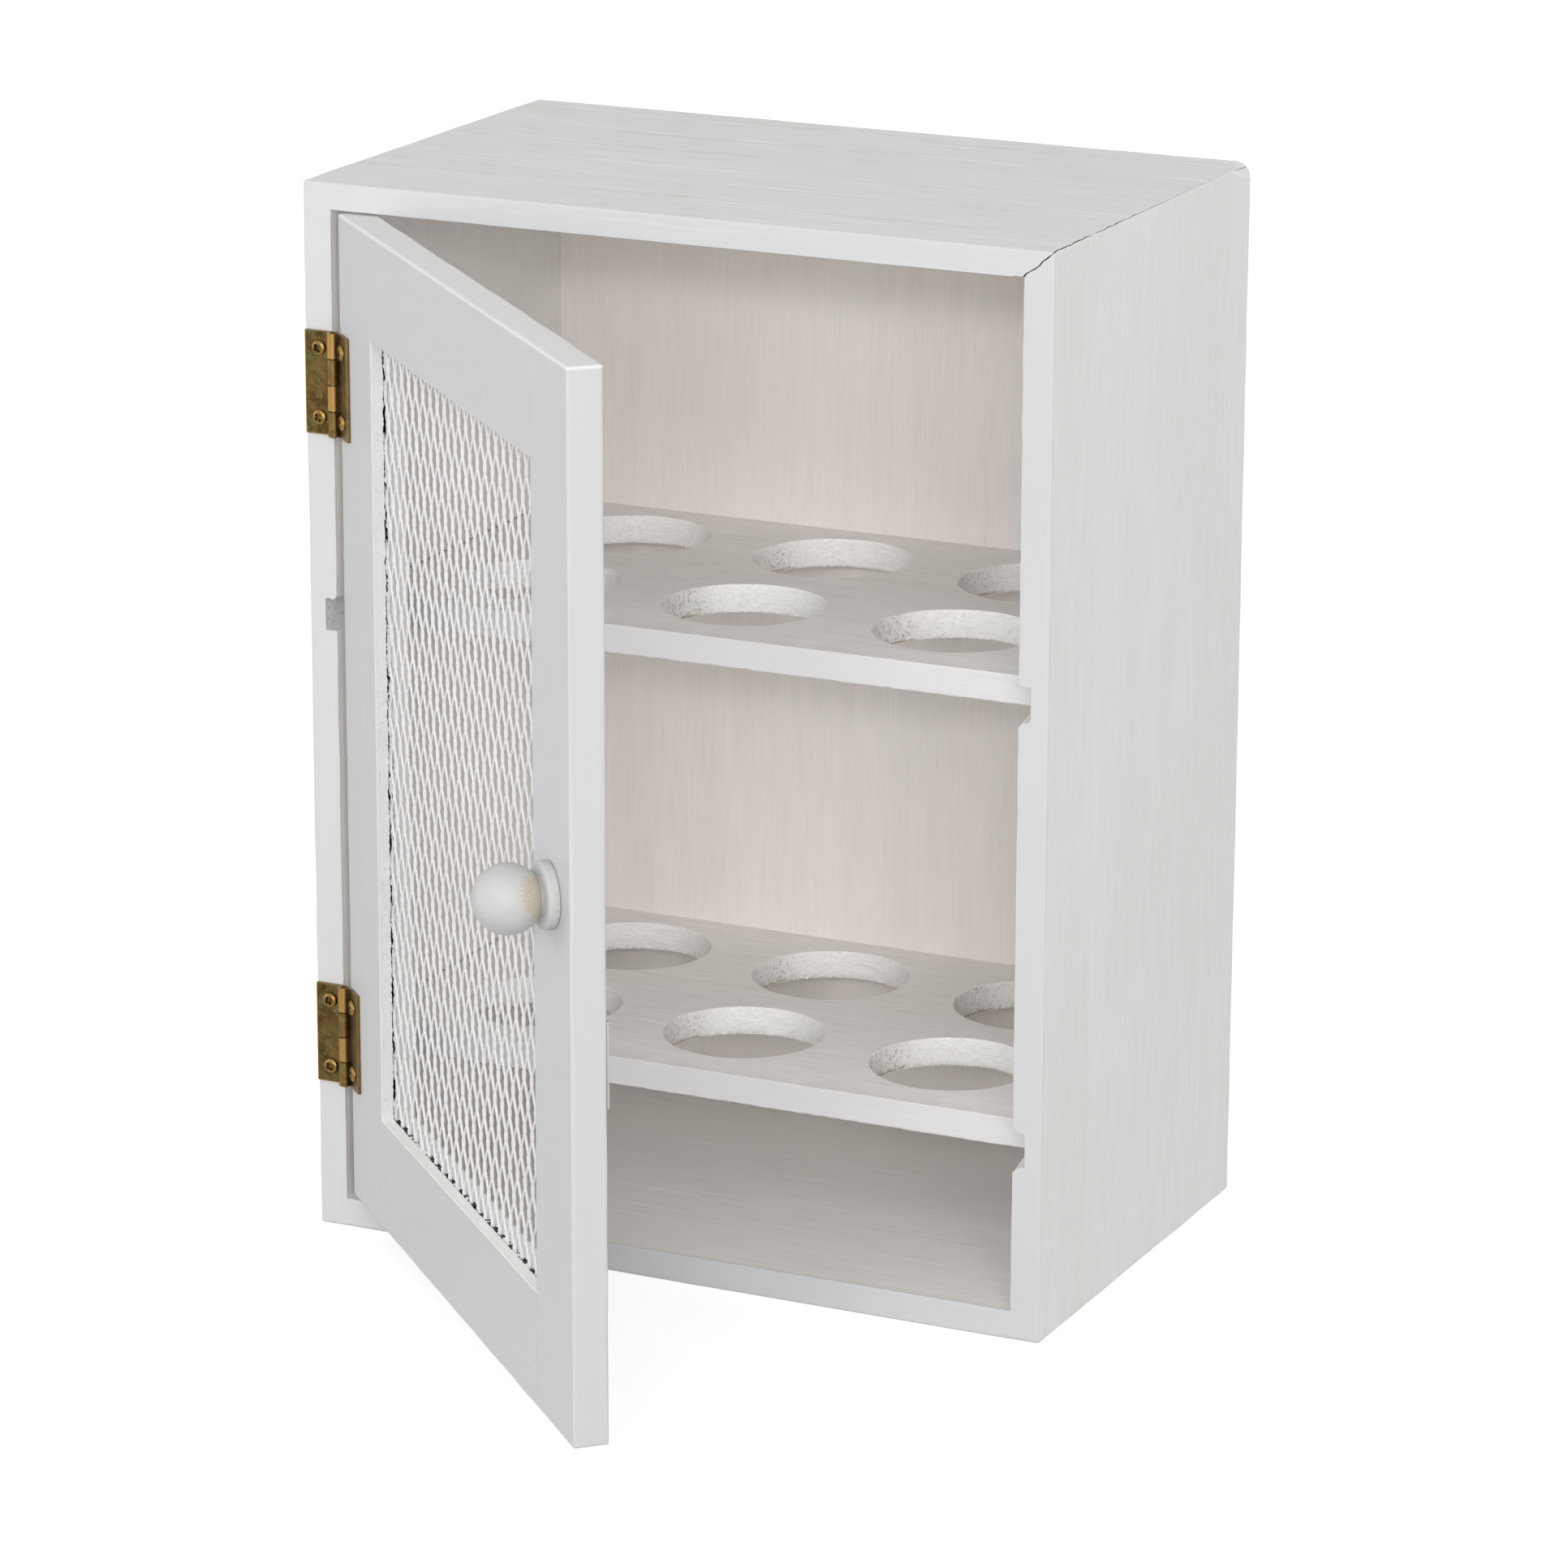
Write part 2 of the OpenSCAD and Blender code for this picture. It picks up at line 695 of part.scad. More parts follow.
module catch_magnet() {
    color("dimgray") translate([inner_w / 2 - catch_t / 2 - magnet_t / 2, catch_y, catch_z - magnet_l / 2])
        cube([magnet_t, magnet_d, magnet_l]);
}

module catch_screws() {
    color("silver") at_catch_screws() translate([0, 0, catch_head_h]) rotate([180, 0, 0])
        wood_screw(catch_head_d, catch_head_h, catch_screw_d, catch_screw_l - catch_head_h, cross_w);
}

// The strike plate on the back of the free stile
strike_x = door_w - strike_in - strike_w;
strike_z = catch_z - door_z;

module at_strike_screw() {
    translate([strike_x + strike_w / 2, door_t + strike_t, strike_z]) rotate([-90, 0, 0]) children();
}

module strike_plate() {
    color("silver") on_door() difference() {
        translate([strike_x, door_t, strike_z - strike_l / 2]) cube([strike_w, strike_t, strike_l]);
        at_strike_screw() screw_hole();
    }
}

module strike_screw() {
    color("silver") on_door() at_strike_screw() rotate(20) hinge_screw();
}

top_board();
bottom_board();
left_side();
right_side();
back_panel();
back_nails();
upper_shelf();
lower_shelf();
catch_housing();
catch_magnet();
catch_screws();
upper_frame_leaf();
lower_frame_leaf();
upper_hinge_pin();
lower_hinge_pin();
frame_leaf_screws();
hinge_stile();
free_stile();
door_top_rail();
door_bottom_rail();
door_dowels();
door_mesh();
knob();
knob_screw();
upper_door_leaf();
lower_door_leaf();
door_leaf_screws();
strike_plate();
strike_screw();
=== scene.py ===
"""An egg cupboard of painted wood with an expanded metal door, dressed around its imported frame."""
import json
from functools import partial
from math import acos, atan2, cos, hypot, pi, radians, sin

import bmesh
import bpy
from bpy.props import FloatProperty, FloatVectorProperty, IntProperty, PointerProperty
from mathutils import Matrix, Vector, noise

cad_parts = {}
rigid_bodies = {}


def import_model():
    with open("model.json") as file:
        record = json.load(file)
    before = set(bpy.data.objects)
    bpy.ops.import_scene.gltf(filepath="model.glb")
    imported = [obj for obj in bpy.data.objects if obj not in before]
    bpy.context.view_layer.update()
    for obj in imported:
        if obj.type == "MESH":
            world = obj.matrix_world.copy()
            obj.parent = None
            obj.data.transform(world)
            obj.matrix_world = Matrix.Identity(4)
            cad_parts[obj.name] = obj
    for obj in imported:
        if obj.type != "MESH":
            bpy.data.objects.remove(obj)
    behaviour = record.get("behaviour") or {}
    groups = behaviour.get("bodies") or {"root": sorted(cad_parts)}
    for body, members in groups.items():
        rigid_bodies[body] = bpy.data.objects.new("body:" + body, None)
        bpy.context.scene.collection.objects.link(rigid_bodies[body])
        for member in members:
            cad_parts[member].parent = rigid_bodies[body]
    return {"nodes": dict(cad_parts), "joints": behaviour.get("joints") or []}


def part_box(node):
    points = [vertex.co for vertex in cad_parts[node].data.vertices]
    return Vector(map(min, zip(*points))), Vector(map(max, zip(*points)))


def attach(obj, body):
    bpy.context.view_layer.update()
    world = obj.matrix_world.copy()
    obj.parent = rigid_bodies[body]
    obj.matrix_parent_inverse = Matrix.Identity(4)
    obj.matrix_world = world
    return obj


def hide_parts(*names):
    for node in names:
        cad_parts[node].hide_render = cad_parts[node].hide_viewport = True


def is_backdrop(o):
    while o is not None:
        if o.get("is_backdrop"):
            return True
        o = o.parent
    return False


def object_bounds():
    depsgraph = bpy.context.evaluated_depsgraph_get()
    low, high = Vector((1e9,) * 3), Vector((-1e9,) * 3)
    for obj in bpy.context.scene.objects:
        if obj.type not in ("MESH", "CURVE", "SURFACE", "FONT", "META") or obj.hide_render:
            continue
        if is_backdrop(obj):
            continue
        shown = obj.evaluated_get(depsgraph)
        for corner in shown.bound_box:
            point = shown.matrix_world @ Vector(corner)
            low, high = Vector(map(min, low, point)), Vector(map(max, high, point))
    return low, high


bl_info = {
    "name": "Egg cupboard",
    "version": (1, 0, 0),
    "blender": (4, 5, 0),
    "location": "View3D > Sidebar > Egg cupboard",
    "description": "Builds the visible pieces of an egg cupboard around its packed frame",
    "category": "Add Mesh",
}

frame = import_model()
CAD_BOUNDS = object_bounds()

# Mesh code counts in millimetres, and pieces are scaled to metres when they are made
MM = 0.001
# Points closer than this, in millimetres, are one
MERGE = 0.002
# Half of the width of a step between two lattice lines, in millimetres
STEP = 0.003


def limits(*nodes):
    """Lowest and highest corner of some frame nodes, in millimetres"""
    boxes = [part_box(node) for node in nodes]
    low = [min(box[0][axis] for box in boxes) / MM for axis in range(3)]
    high = [max(box[1][axis] for box in boxes) / MM for axis in range(3)]
    return low, high


OUT_LOW, OUT_HIGH = limits("left_side", "right_side", "top_board", "bottom_board")
FRONT, REAR = OUT_LOW[1], OUT_HIGH[1]
INNER_X = limits("right_side")[0][0]
CEILING = limits("top_board")[0][2]
GROUND = limits("bottom_board")[1][2]
SIDE_T = OUT_HIGH[0] - INNER_X
TOP_T = OUT_HIGH[2] - CEILING
PANEL_LOW, PANEL_HIGH = limits("back_panel")
UPPER_LOW, UPPER_HIGH = limits("upper_shelf")
LOWER_LOW, LOWER_HIGH = limits("lower_shelf")
# The housings are this much deeper and higher than the shelf ends that they hold
HOUSING_END, HOUSING_ROOM = 0.2, 0.4
HOUSING_T = UPPER_HIGH[0] + HOUSING_END - INNER_X
# The back laps onto the boards, in a rebate with a little room
REBATE_ROOM = 0.15
LAP = PANEL_HIGH[0] + REBATE_ROOM - INNER_X
# How strongly bare wood shows on the sanded edges round the opening
ARRIS_BARE = 0.45
# Points this close to the top right mitre join its open face: on the side board, and on the top board
CRACK_EDGE, CRACK_TOP_EDGE = 0.45, 0.8

# The hinge pin's axis, and the door, whose own measures start at its lower front corner by the hinges
PIN_X, PIN_Y = (value / MM for value in frame["joints"][0]["pos_m"][:2])
DOOR_OPEN = 45.0
DOOR_X, DOOR_Z = -87.8, limits("hinge_stile")[0][2]
DOOR_W, DOOR_T = 175.6, 8.4
DOOR_H = limits("hinge_stile")[1][2] - DOOR_Z
STILE_W = 26.0
TOP_RAIL_H, BOTTOM_RAIL_H = 25.4, 27.6
# Both walls of the kerf, measured from the door's front, and its depth
KERF_FRONT, KERF_BACK, KERF_D = 3.0, 4.2, 4.0
# The knob's axis, the strike plate's screw and the plate's thickness
KNOB_X, KNOB_Z = 161.8, 124.2
STRIKE_X, STRIKE_Z, STRIKE_T = 169.0, 97 - DOOR_Z, 0.6
WINDOW_X = (STILE_W, DOOR_W - STILE_W)
WINDOW_Z = (BOTTOM_RAIL_H, DOOR_H - TOP_RAIL_H)


def linear(code):
    """Linear RGB of an sRGB hex colour"""
    parts = [int(code[i:i + 2], 16) / 255 for i in (0, 2, 4)]
    return tuple(v / 12.92 if v <= 0.04045 else ((v + 0.055) / 1.055) ** 2.4 for v in parts)


def ease(low, high, value):
    """Smooth rise from 0 at low to 1 at high"""
    share = min(1.0, max(0.0, (value - low) / (high - low)))
    return share * share * (3 - 2 * share)


def rough_value(point, size, seed=0.0):
    """Even noise between about -1 and 1, with features of the given size in millimetres"""
    return noise.noise(Vector(point) / size + Vector((seed, 1.7 * seed, 2.3 * seed))) * 1.6


def hang(point):
    """Places a point of the closed door, measured from its lower front corner, on the open door"""
    x = DOOR_X + point[0] - PIN_X
    y = FRONT + point[1] - PIN_Y
    turn = radians(-DOOR_OPEN)
    return (
        PIN_X + x * cos(turn) - y * sin(turn),
        PIN_Y + x * sin(turn) + y * cos(turn),
        DOOR_Z + point[2],
    )


# Settings

def measure(name, description, size, low, high):
    """A length that the user may change, with its limits, all in millimetres"""
    return FloatProperty(
        name=name, description=description, default=size * MM, min=low * MM, max=high * MM,
        precision=5, unit="LENGTH")


def colour(name, description, code):
    """A colour that the user may change"""
    return FloatVectorProperty(
        name=name, description=description, subtype="COLOR", size=3, min=0, max=1, default=linear(code))


def lamp_power(name, description, watts):
    """A lamp's power that the user may change"""
    return FloatProperty(name=name, description=description, default=watts, min=0, max=100, unit="POWER")


class BoardSettings(bpy.types.PropertyGroup):
    """Edges and wear of the painted boards"""
    easing: measure("Easing", "Radius of the sanded outer edges", 0.7, 0.2, 1.2)
    inner_easing: measure("Inner easing", "Radius of the edges round the opening", 0.22, 0.1, 0.8)
    waviness: measure("Waviness", "How far hand sanding dips into the faces", 0.08, 0, 0.2)
    crack: measure("Crack", "Width of the open mitre at the front of the top right corner", 0.27, 0, 0.5)
    crack_jag: measure("Crack jag", "How far the open mitre strays to either side", 0.32, 0, 0.8)
    worn_corner: measure("Worn corner", "Radius of the worn top right corner at the back", 4.4, 0.7, 6)
    broken_lip: measure(
        "Broken lip", "Height that has broken off under the right housings at the front", 0.9, 0, 3)


class ShelfSettings(bpy.types.PropertyGroup):
    """Holes of the shelves and how cleanly they were bored"""
    hole: measure("Hole", "Diameter of the egg holes", 39.4, 36, 42)
    pitch_across: measure(
        "Pitch across", "Distance between neighbouring holes across the shelf", 55.2, 46, 57)
    first_row: measure("First row", "Distance from the front edge to the first row of holes", 30.2, 26, 32)
    pitch_back: measure("Pitch back", "Distance between the two rows of holes", 50, 45, 52)
    tear: measure("Tear", "How far the fibres tore out where the drill came through", 0.3, 0, 1)


class NetSettings(bpy.types.PropertyGroup):
    """The expanded metal in the door"""
    across: IntProperty(
        name="Bonds across", description="Number of bond spacings across the window",
        default=22, min=8, max=40)
    along: IntProperty(
        name="Rows along", description="Number of half rows up the window",
        default=30, min=8, max=60)
    strand: measure("Strand", "Width of one strand", 0.47, 0.4, 1.2)
    sheet: measure("Sheet", "Thickness of the painted sheet", 0.32, 0.2, 0.6)
    bond: measure("Bond", "Height of a bond, where two strands run together", 3.4, 2, 5)
    tilt: FloatProperty(
        name="Tilt", description="Angle by which stretching turned the strands out of the sheet",
        default=radians(38), min=0, max=radians(60), subtype="ANGLE")


class HingeSettings(bpy.types.PropertyGroup):
    """The two small butt hinges and their screws"""
    leaf: measure("Leaf", "Distance from the pin to the outer edge of a leaf", 8, 6, 9)
    sheet: measure("Sheet", "Thickness of the leaves", 0.8, 0.5, 1)
    knuckle: measure("Knuckle", "Outer diameter of the rolled knuckles", 2.8, 2.4, 3.4)
    pin: measure("Pin", "Diameter of the pin", 1.4, 1, 1.6)
    head: measure("Screw head", "Diameter of the screw heads", 3.8, 3, 4.2)
    slot: measure("Cross", "Width of the cross recess in the screw heads", 0.8, 0.4, 0.9)


class KnobSettings(bpy.types.PropertyGroup):
    """The turned knob"""
    ball: measure("Ball", "Diameter of the ball", 16, 12, 18)
    reach: measure("Reach", "Distance from the door to the centre of the ball", 9.8, 9, 10.4)
    flange: measure("Flange", "Diameter of the flange", 15.4, 12, 20)


class FinishSettings(bpy.types.PropertyGroup):
    """Colours of the finishes"""
    carcass: colour("Carcass paint", "Brushed off-white paint on the carcass", "EBEAE8")
    # Partly painted shade: the door's paint is cooler than the carcass's, and darker for the light that its
    # turned face misses
    door: colour("Door paint", "Cooler white paint on the door", "C9CACB")
    knob: colour("Knob paint", "Paint on the knob", "BDBEBE")
    # Partly painted shade: the front edges' coat is smooth and cool, and darker than the carcass paint as
    # painted shade
    edge: colour("Edge paint", "Smooth second coat on the boards' front edges", "CACBCC")
    shelf: colour("Shelf paint", "Thin white paint on the shelves", "EDE9E7")
    # Partly painted highlight: the brush ridges are raised and their white is partly a painted highlight; the
    # same white is a painted highlight on the door's reveals and top edge and the shelves' hole walls and
    # front
    ridge_and_highlight: colour("Streaks", "Ridges of thicker paint left by the brush", "FAFAF8")
    fibre: colour("Fibre", "Wood fibre that shows through the paint", "CFC9C2")
    bare: colour("Bare wood", "Unpainted edges and chips", "BDAB8E")
    pit: colour("Pits", "Shadowed pits of the end grain", "8E8079")
    ply: colour("Plywood", "Washed plywood of the back", "F2ECE8")
    net: colour("Mesh paint", "Sprayed white paint on the expanded metal", "DBDAD9")
    # Painted shade: this near black stands for the unpainted wood inside the joints and the kerf, deep in
    # shadow
    seam: colour("Joints", "Unpainted faces inside the joints", "211C18")
    brass: colour("Brass", "Rubbed parts of the antiqued brass", "B58C52")
    patina: colour("Patina", "Dark patina of the antiqued brass", "483A20")
    olive: colour("Olive patina", "Lighter clouds in the patina", "7D6A3C")
    green: colour("Green patina", "Greenish clouds in the patina", "55603A")
    rust: colour("Red patina", "Reddish clouds in the patina", "71452F")
    steel: colour("Steel", "Zinc-plated steel", "B9BBBD")
    plastic: colour("Catch", "White moulded catch", "E9E9E6")
    ferrite: colour("Magnet", "Dark ferrite magnet", "3A3A3C")
    dowel: colour("Dowels", "Beech dowels", "CBA878")


class StageSettings(bpy.types.PropertyGroup):
    """Camera, floor and light"""
    turn: FloatProperty(
        name="Turn", description="Angle of the camera to the right of the front",
        default=radians(25.304), subtype="ANGLE")
    rise: FloatProperty(
        name="Rise", description="Angle of the camera above the table",
        default=radians(16.216), subtype="ANGLE")
    roll: FloatProperty(
        name="Roll", description="Tilt of the camera about its own axis",
        default=radians(0.172), subtype="ANGLE")
    distance: FloatProperty(
        name="Distance", description="Distance from the camera to its target",
        default=1.5153, min=0.3, max=6, unit="LENGTH")
    lens: FloatProperty(
        name="Lens", description="Focal length in millimetres on a sensor 36 mm wide",
        default=148.41, min=20, max=400)
    sky: FloatProperty(
        name="Sky", description="Strength of the even light from all round", default=0.49, min=0, max=2)
    key: lamp_power("Key", "Power of the large soft lamp in front", 14.5)
    strip: lamp_power("Strip", "Power of the wide flat lamp that draws the shadow under the top board", 16)
    front: lamp_power("Front", "Power of the soft lamp that reaches inside", 4.8)
    fill: lamp_power("Fill", "Power of the soft lamp on the left", 6.9)
    side: lamp_power("Side", "Power of the soft lamp on the right", 3.6)
    rear: lamp_power("Rear", "Power of the soft lamp behind, which shows the back", 11)
    glow: FloatProperty(
        name="Glow", description="Brightness that the camera sees on the floor besides its own light",
        default=0.69, min=0, max=1)


class CupboardSettings(bpy.types.PropertyGroup):
    """All settings of the egg cupboard"""
    board: PointerProperty(type=BoardSettings)
    shelf: PointerProperty(type=ShelfSettings)
    net: PointerProperty(type=NetSettings)
    hinge: PointerProperty(type=HingeSettings)
    knob: PointerProperty(type=KnobSettings)
    finish: PointerProperty(type=FinishSettings)
    stage: PointerProperty(type=StageSettings)


# Materials

def add(tree, kind, inputs=None, out=0, **settings):
    """Adds a node with its settings, sets or links its inputs, and gives one of its outputs"""
    made = tree.nodes.new(kind)
    for name, value in settings.items():
        setattr(made, name, value)
    for key, value in (inputs or {}).items():
        if isinstance(value, bpy.types.NodeSocket):
            tree.links.new(value, made.inputs[key])
        else:
            made.inputs[key].default_value = value
    return made.outputs[out] if made.outputs else None


def drawn_out(axis, stretch):
    """Mapping scales that draw a pattern out along the grain"""
    return tuple(1 / stretch if name == axis else 1 for name in "XYZ")


def start_material(name, turned=False):
    """A new material, and Object coordinates that follow the open door where it is turned"""
    made = bpy.data.materials.new(name)
    made.use_nodes = True
    tree = made.node_tree
    tree.nodes.clear()
    place = add(tree, "ShaderNodeTexCoord", out="Object")
    if turned:
        place = add(
            tree, "ShaderNodeMapping",
            {"Vector": place, "Location": (PIN_X * MM, PIN_Y * MM, 0),
             "Rotation": (0, 0, radians(-DOOR_OPEN))},
            vector_type="TEXTURE")
    return made, tree, place


def pattern(tree, place, size, low, high, stretch=(1, 1, 1), detail=3.0, shift=0.0):
    """Noise with features of the given size in millimetres, as a mask that rises from low to high; each
    pattern of a material has its own shift, so that no two of them match"""
    moved = add(tree, "ShaderNodeMapping", {"Vector": place, "Location": (shift,) * 3, "Scale": stretch})
    value = add(tree, "ShaderNodeTexNoise", {
        "Vector": moved, "Scale": 1 / (size * MM), "Detail": detail, "Roughness": 0.55})
    return add(tree, "ShaderNodeMapRange", {"Value": value, "From Min": low, "From Max": high},
               interpolation_type="SMOOTHSTEP")


def product(tree, *masks):
    """Masks, and any strength, multiplied together"""
    result = masks[0]
    for mask in masks[1:]:
        result = add(tree, "ShaderNodeMath", {0: result, 1: mask}, operation="MULTIPLY")
    return result


def layered(tree, tone, *layers):
    """Colours laid over each other, each through its mask and with its strength"""
    tone = (*tone, 1.0)
    for mask, strength, over in layers:
        tone = add(tree, "ShaderNodeMix", {0: product(tree, mask, strength), 6: tone, 7: (*over, 1.0)},
                   2, data_type="RGBA")
    return tone


def relief(tree, *layers, base=0.0):
    """A base and masks, each times its own amount, added up: a height in millimetres, or a roughness"""
    total = base
    for mask, amount in layers:
        total = add(tree, "ShaderNodeMath", {0: mask, 1: amount, 2: total}, operation="MULTIPLY_ADD")
    return total


def end_material(tree, tone, height, roughness, **constants):
    """Shades a surface with a colour, a height in millimetres and a roughness"""
    normal = add(tree, "ShaderNodeBump", {"Height": height, "Distance": MM})
    shader = add(tree, "ShaderNodeBsdfPrincipled", {
        "Base Color": tone, "Normal": normal, "Roughness": roughness, **constants})
    add(tree, "ShaderNodeOutputMaterial", {"Surface": shader})


def painted_wood(name, paint, axis, finish, turned=False, streaks=0.5, fibres=0.35, specks=0.5):
    """Satin paint brushed on solid wood: fibres and brush ridges run with the grain, and torn or
    unpainted places, which the mesh marks, show pits and bare wood"""
    made, tree, place = start_material(name, turned)
    # Hand work and grain wander by about a millimetre
    stray = add(tree, "ShaderNodeTexNoise", {
        "Vector": place, "Scale": 1 / (24 * MM), "Detail": 2.0}, "Color")
    place = add(tree, "ShaderNodeVectorMath", {
        0: stray, 1: (1.8 * MM,) * 3, 2: place}, operation="MULTIPLY_ADD")
    plain, thin, thick, bare, torn, seam = (
        add(tree, "ShaderNodeAttribute", out="Fac", attribute_name=kind)
        for kind in ("plain", "thin", "thick", "bare", "torn", "seam"))
    # Fibres are 0.4 mm wide and 18 mm long, and brush ridges 1.1 mm wide and 140 mm long
    # The smooth front coat hides the grain, and its darker colour is painted shade
    grained = add(tree, "ShaderNodeMath", {0: plain, 1: -0.85, 2: 1.0}, operation="MULTIPLY_ADD")
    fibre = product(tree, pattern(tree, place, 0.4, 0.35, 0.75, drawn_out(axis, 45), 4), grained)
    ridge = pattern(tree, place, 1.1, 0.53, 0.68, drawn_out(axis, 130), 4, 0.3)
    furrow = pattern(tree, place, 0.7, 0.56, 0.7, drawn_out(axis, 110), 3, 0.8)
    # Ridges and furrows come in bands where the brush ran dry
    band = pattern(tree, place, 11, 0.42, 0.66, drawn_out(axis, 14), 2, 0.5)
    cloud = pattern(tree, place, 26, 0.3, 0.7, drawn_out(axis, 2.5), 3, 0.2)
    speck = pattern(tree, place, 1.2, 0.76, 0.8, (1, 1, 1), 2, 0.9)
    ridges = product(tree, ridge, band, grained)
    furrows = product(tree, furrow, band, grained)
    grit = pattern(tree, place, 0.5, 0.3, 0.7, (1, 1, 1), 4, 0.5)
    crumb = pattern(tree, place, 0.8, 0.58, 0.66, (1, 1, 1), 3, 0.4)
    uneven = add(tree, "ShaderNodeMath", {0: grit, 1: 0.5, 2: bare}, operation="MULTIPLY_ADD")
    shown = add(tree, "ShaderNodeMapRange", {"Value": uneven, "From Min": 0.7, "From Max": 1.15},
                interpolation_type="SMOOTHSTEP")
    pits = product(tree, crumb, torn)
    tone = layered(
        tree, paint,
        # Painted warm bounce light: the thin mark tints the side boards' inner faces paler and pinker
        (cloud, 0.14, finish.fibre), (thin, 0.4, finish.ply), (plain, 0.9, finish.edge),
        # Painted highlight: the thick mark whitens the door's reveals and top edge, and the shelves' hole
        # walls and front
        (thick, 1.0, finish.ridge_and_highlight), (fibre, fibres, finish.fibre),
        # The brush ridges are raised, and their white is partly a painted highlight
        (furrows, streaks * 0.8, finish.fibre), (ridges, min(1.0, streaks), finish.ridge_and_highlight),
        (speck, specks, finish.bare), (shown, 0.9, finish.bare), (pits, 0.5, finish.pit),
        # Painted shade: the joints' faces and the kerf's mouth are near black
        (seam, 1.0, finish.seam))
    height = relief(
        tree, (fibre, -0.015), (ridges, 0.05 * streaks), (furrows, -0.04 * streaks), (pits, -0.22),
        (product(tree, grit, torn), 0.1))
    rough = relief(tree, (fibre, 0.12), (shown, 0.2), base=0.46)
    end_material(tree, tone, height, rough, IOR=1.47)
    return made


def washed_plywood(name, finish):
    """Thin plywood under a translucent wash: warm, with fine upright grain and small dark pores"""
    made, tree, place = start_material(name)
    grain = pattern(tree, place, 0.45, 0.3, 0.72, drawn_out("Z", 40), 5)
    figure = pattern(tree, place, 5, 0.35, 0.7, drawn_out("Z", 10), 3, 0.3)
    cloud = pattern(tree, place, 35, 0.3, 0.7, drawn_out("Z", 2), 2, 0.7)
    pore = pattern(tree, place, 0.3, 0.68, 0.76, drawn_out("Z", 12), 2, 0.6)
    tone = layered(
        tree, finish.ply, (grain, 0.22, finish.fibre), (figure, 0.12, finish.fibre),
        (cloud, 0.2, finish.shelf), (pore, 0.3, finish.pit))
    end_material(tree, tone, relief(tree, (grain, 0.02), (pore, -0.02)), 0.6, IOR=1.45)
    return made


def sprayed_steel(name, finish):
    """Steel under sprayed enamel: smooth and slightly glossy, a little thicker in drops"""
    made, tree, place = start_material(name, True)
    drop = pattern(tree, place, 1.5, 0.3, 0.75, (1, 1, 1), 2)
    cloud = pattern(tree, place, 9, 0.35, 0.7, (1, 1, 1), 2, 0.4)
    tone = layered(tree, finish.net, (cloud, 0.3, finish.shelf))
    rough = relief(tree, (drop, 0.1), base=0.33)
    end_material(tree, tone, relief(tree, (drop, 0.04)), rough, IOR=1.5)
    return made


def antiqued_brass(name, finish, turned=False):
    """Brass darkened with acid, in olive, green and reddish clouds, and rubbed golden where the mesh says"""
    made, tree, place = start_material(name, turned)
    cloud = pattern(tree, place, 2.4, 0.34, 0.68, (1, 1, 1), 4)
    green = pattern(tree, place, 2.8, 0.52, 0.66, (1, 1, 1), 4, 0.3)
    red = pattern(tree, place, 2.2, 0.55, 0.68, (1, 1, 0.7), 4, 0.7)
    grit = pattern(tree, place, 0.25, 0.3, 0.8, (1, 1, 1), 3, 0.2)
    scuff = pattern(tree, place, 0.6, 0.6, 0.72, (1, 1, 0.6), 3, 0.6)
    rub = add(tree, "ShaderNodeAttribute", out="Fac", attribute_name="rub")
    tone = layered(
        tree, finish.patina, (cloud, 0.55, finish.olive), (green, 0.5, finish.green), (red, 0.5, finish.rust),
        (scuff, 0.35, finish.brass), (rub, 0.85, finish.brass))
    rough = relief(tree, (grit, 0.18), base=0.27)
    end_material(tree, tone, relief(tree, (grit, 0.015), (cloud, 0.02)), rough, Metallic=1.0)
    return made


def plated_steel(name, finish):
    """Zinc-plated steel, pressed: pale grey, with a faint cloud in its shine"""
    made, tree, place = start_material(name)
    cloud = pattern(tree, place, 1.2, 0.3, 0.7, (1, 1, 1), 4)
    tone = layered(tree, finish.steel, (cloud, 0.25, finish.olive))
    rough = relief(tree, (cloud, 0.18), base=0.25)
    end_material(tree, tone, relief(tree, (cloud, 0.01)), rough, Metallic=1.0)
    return made


def fine_grained(name, base, shade, rough, size):
    """A moulded or pressed part: a fine even grain of the given size over one colour"""
    made, tree, place = start_material(name)
    grain = pattern(tree, place, size, 0.3, 0.7)
    end_material(tree, layered(tree, base, (grain, 0.2, shade)), relief(tree, (grain, 0.02)), rough, IOR=1.5)
    return made


def turned_beech(name, finish):
    """Turned beech, unpainted: pale brown with short flecks along its length"""
    made, tree, place = start_material(name, True)
    grain = pattern(tree, place, 0.4, 0.35, 0.7, drawn_out("X", 12), 4)
    tone = layered(tree, finish.dowel, (grain, 0.3, finish.pit))
    end_material(tree, tone, relief(tree, (grain, 0.03)), 0.65, IOR=1.5)
    return made


def finish_of(make, name, *details, **more):
    """The material of that name, made when it is first needed"""
    return bpy.data.materials.get(name) or make(name, *details, **more)


def coat(obj, material):
    """Gives an object one material in place of all it has"""
    obj.data.materials.clear()
    obj.data.materials.append(material)


# Meshes

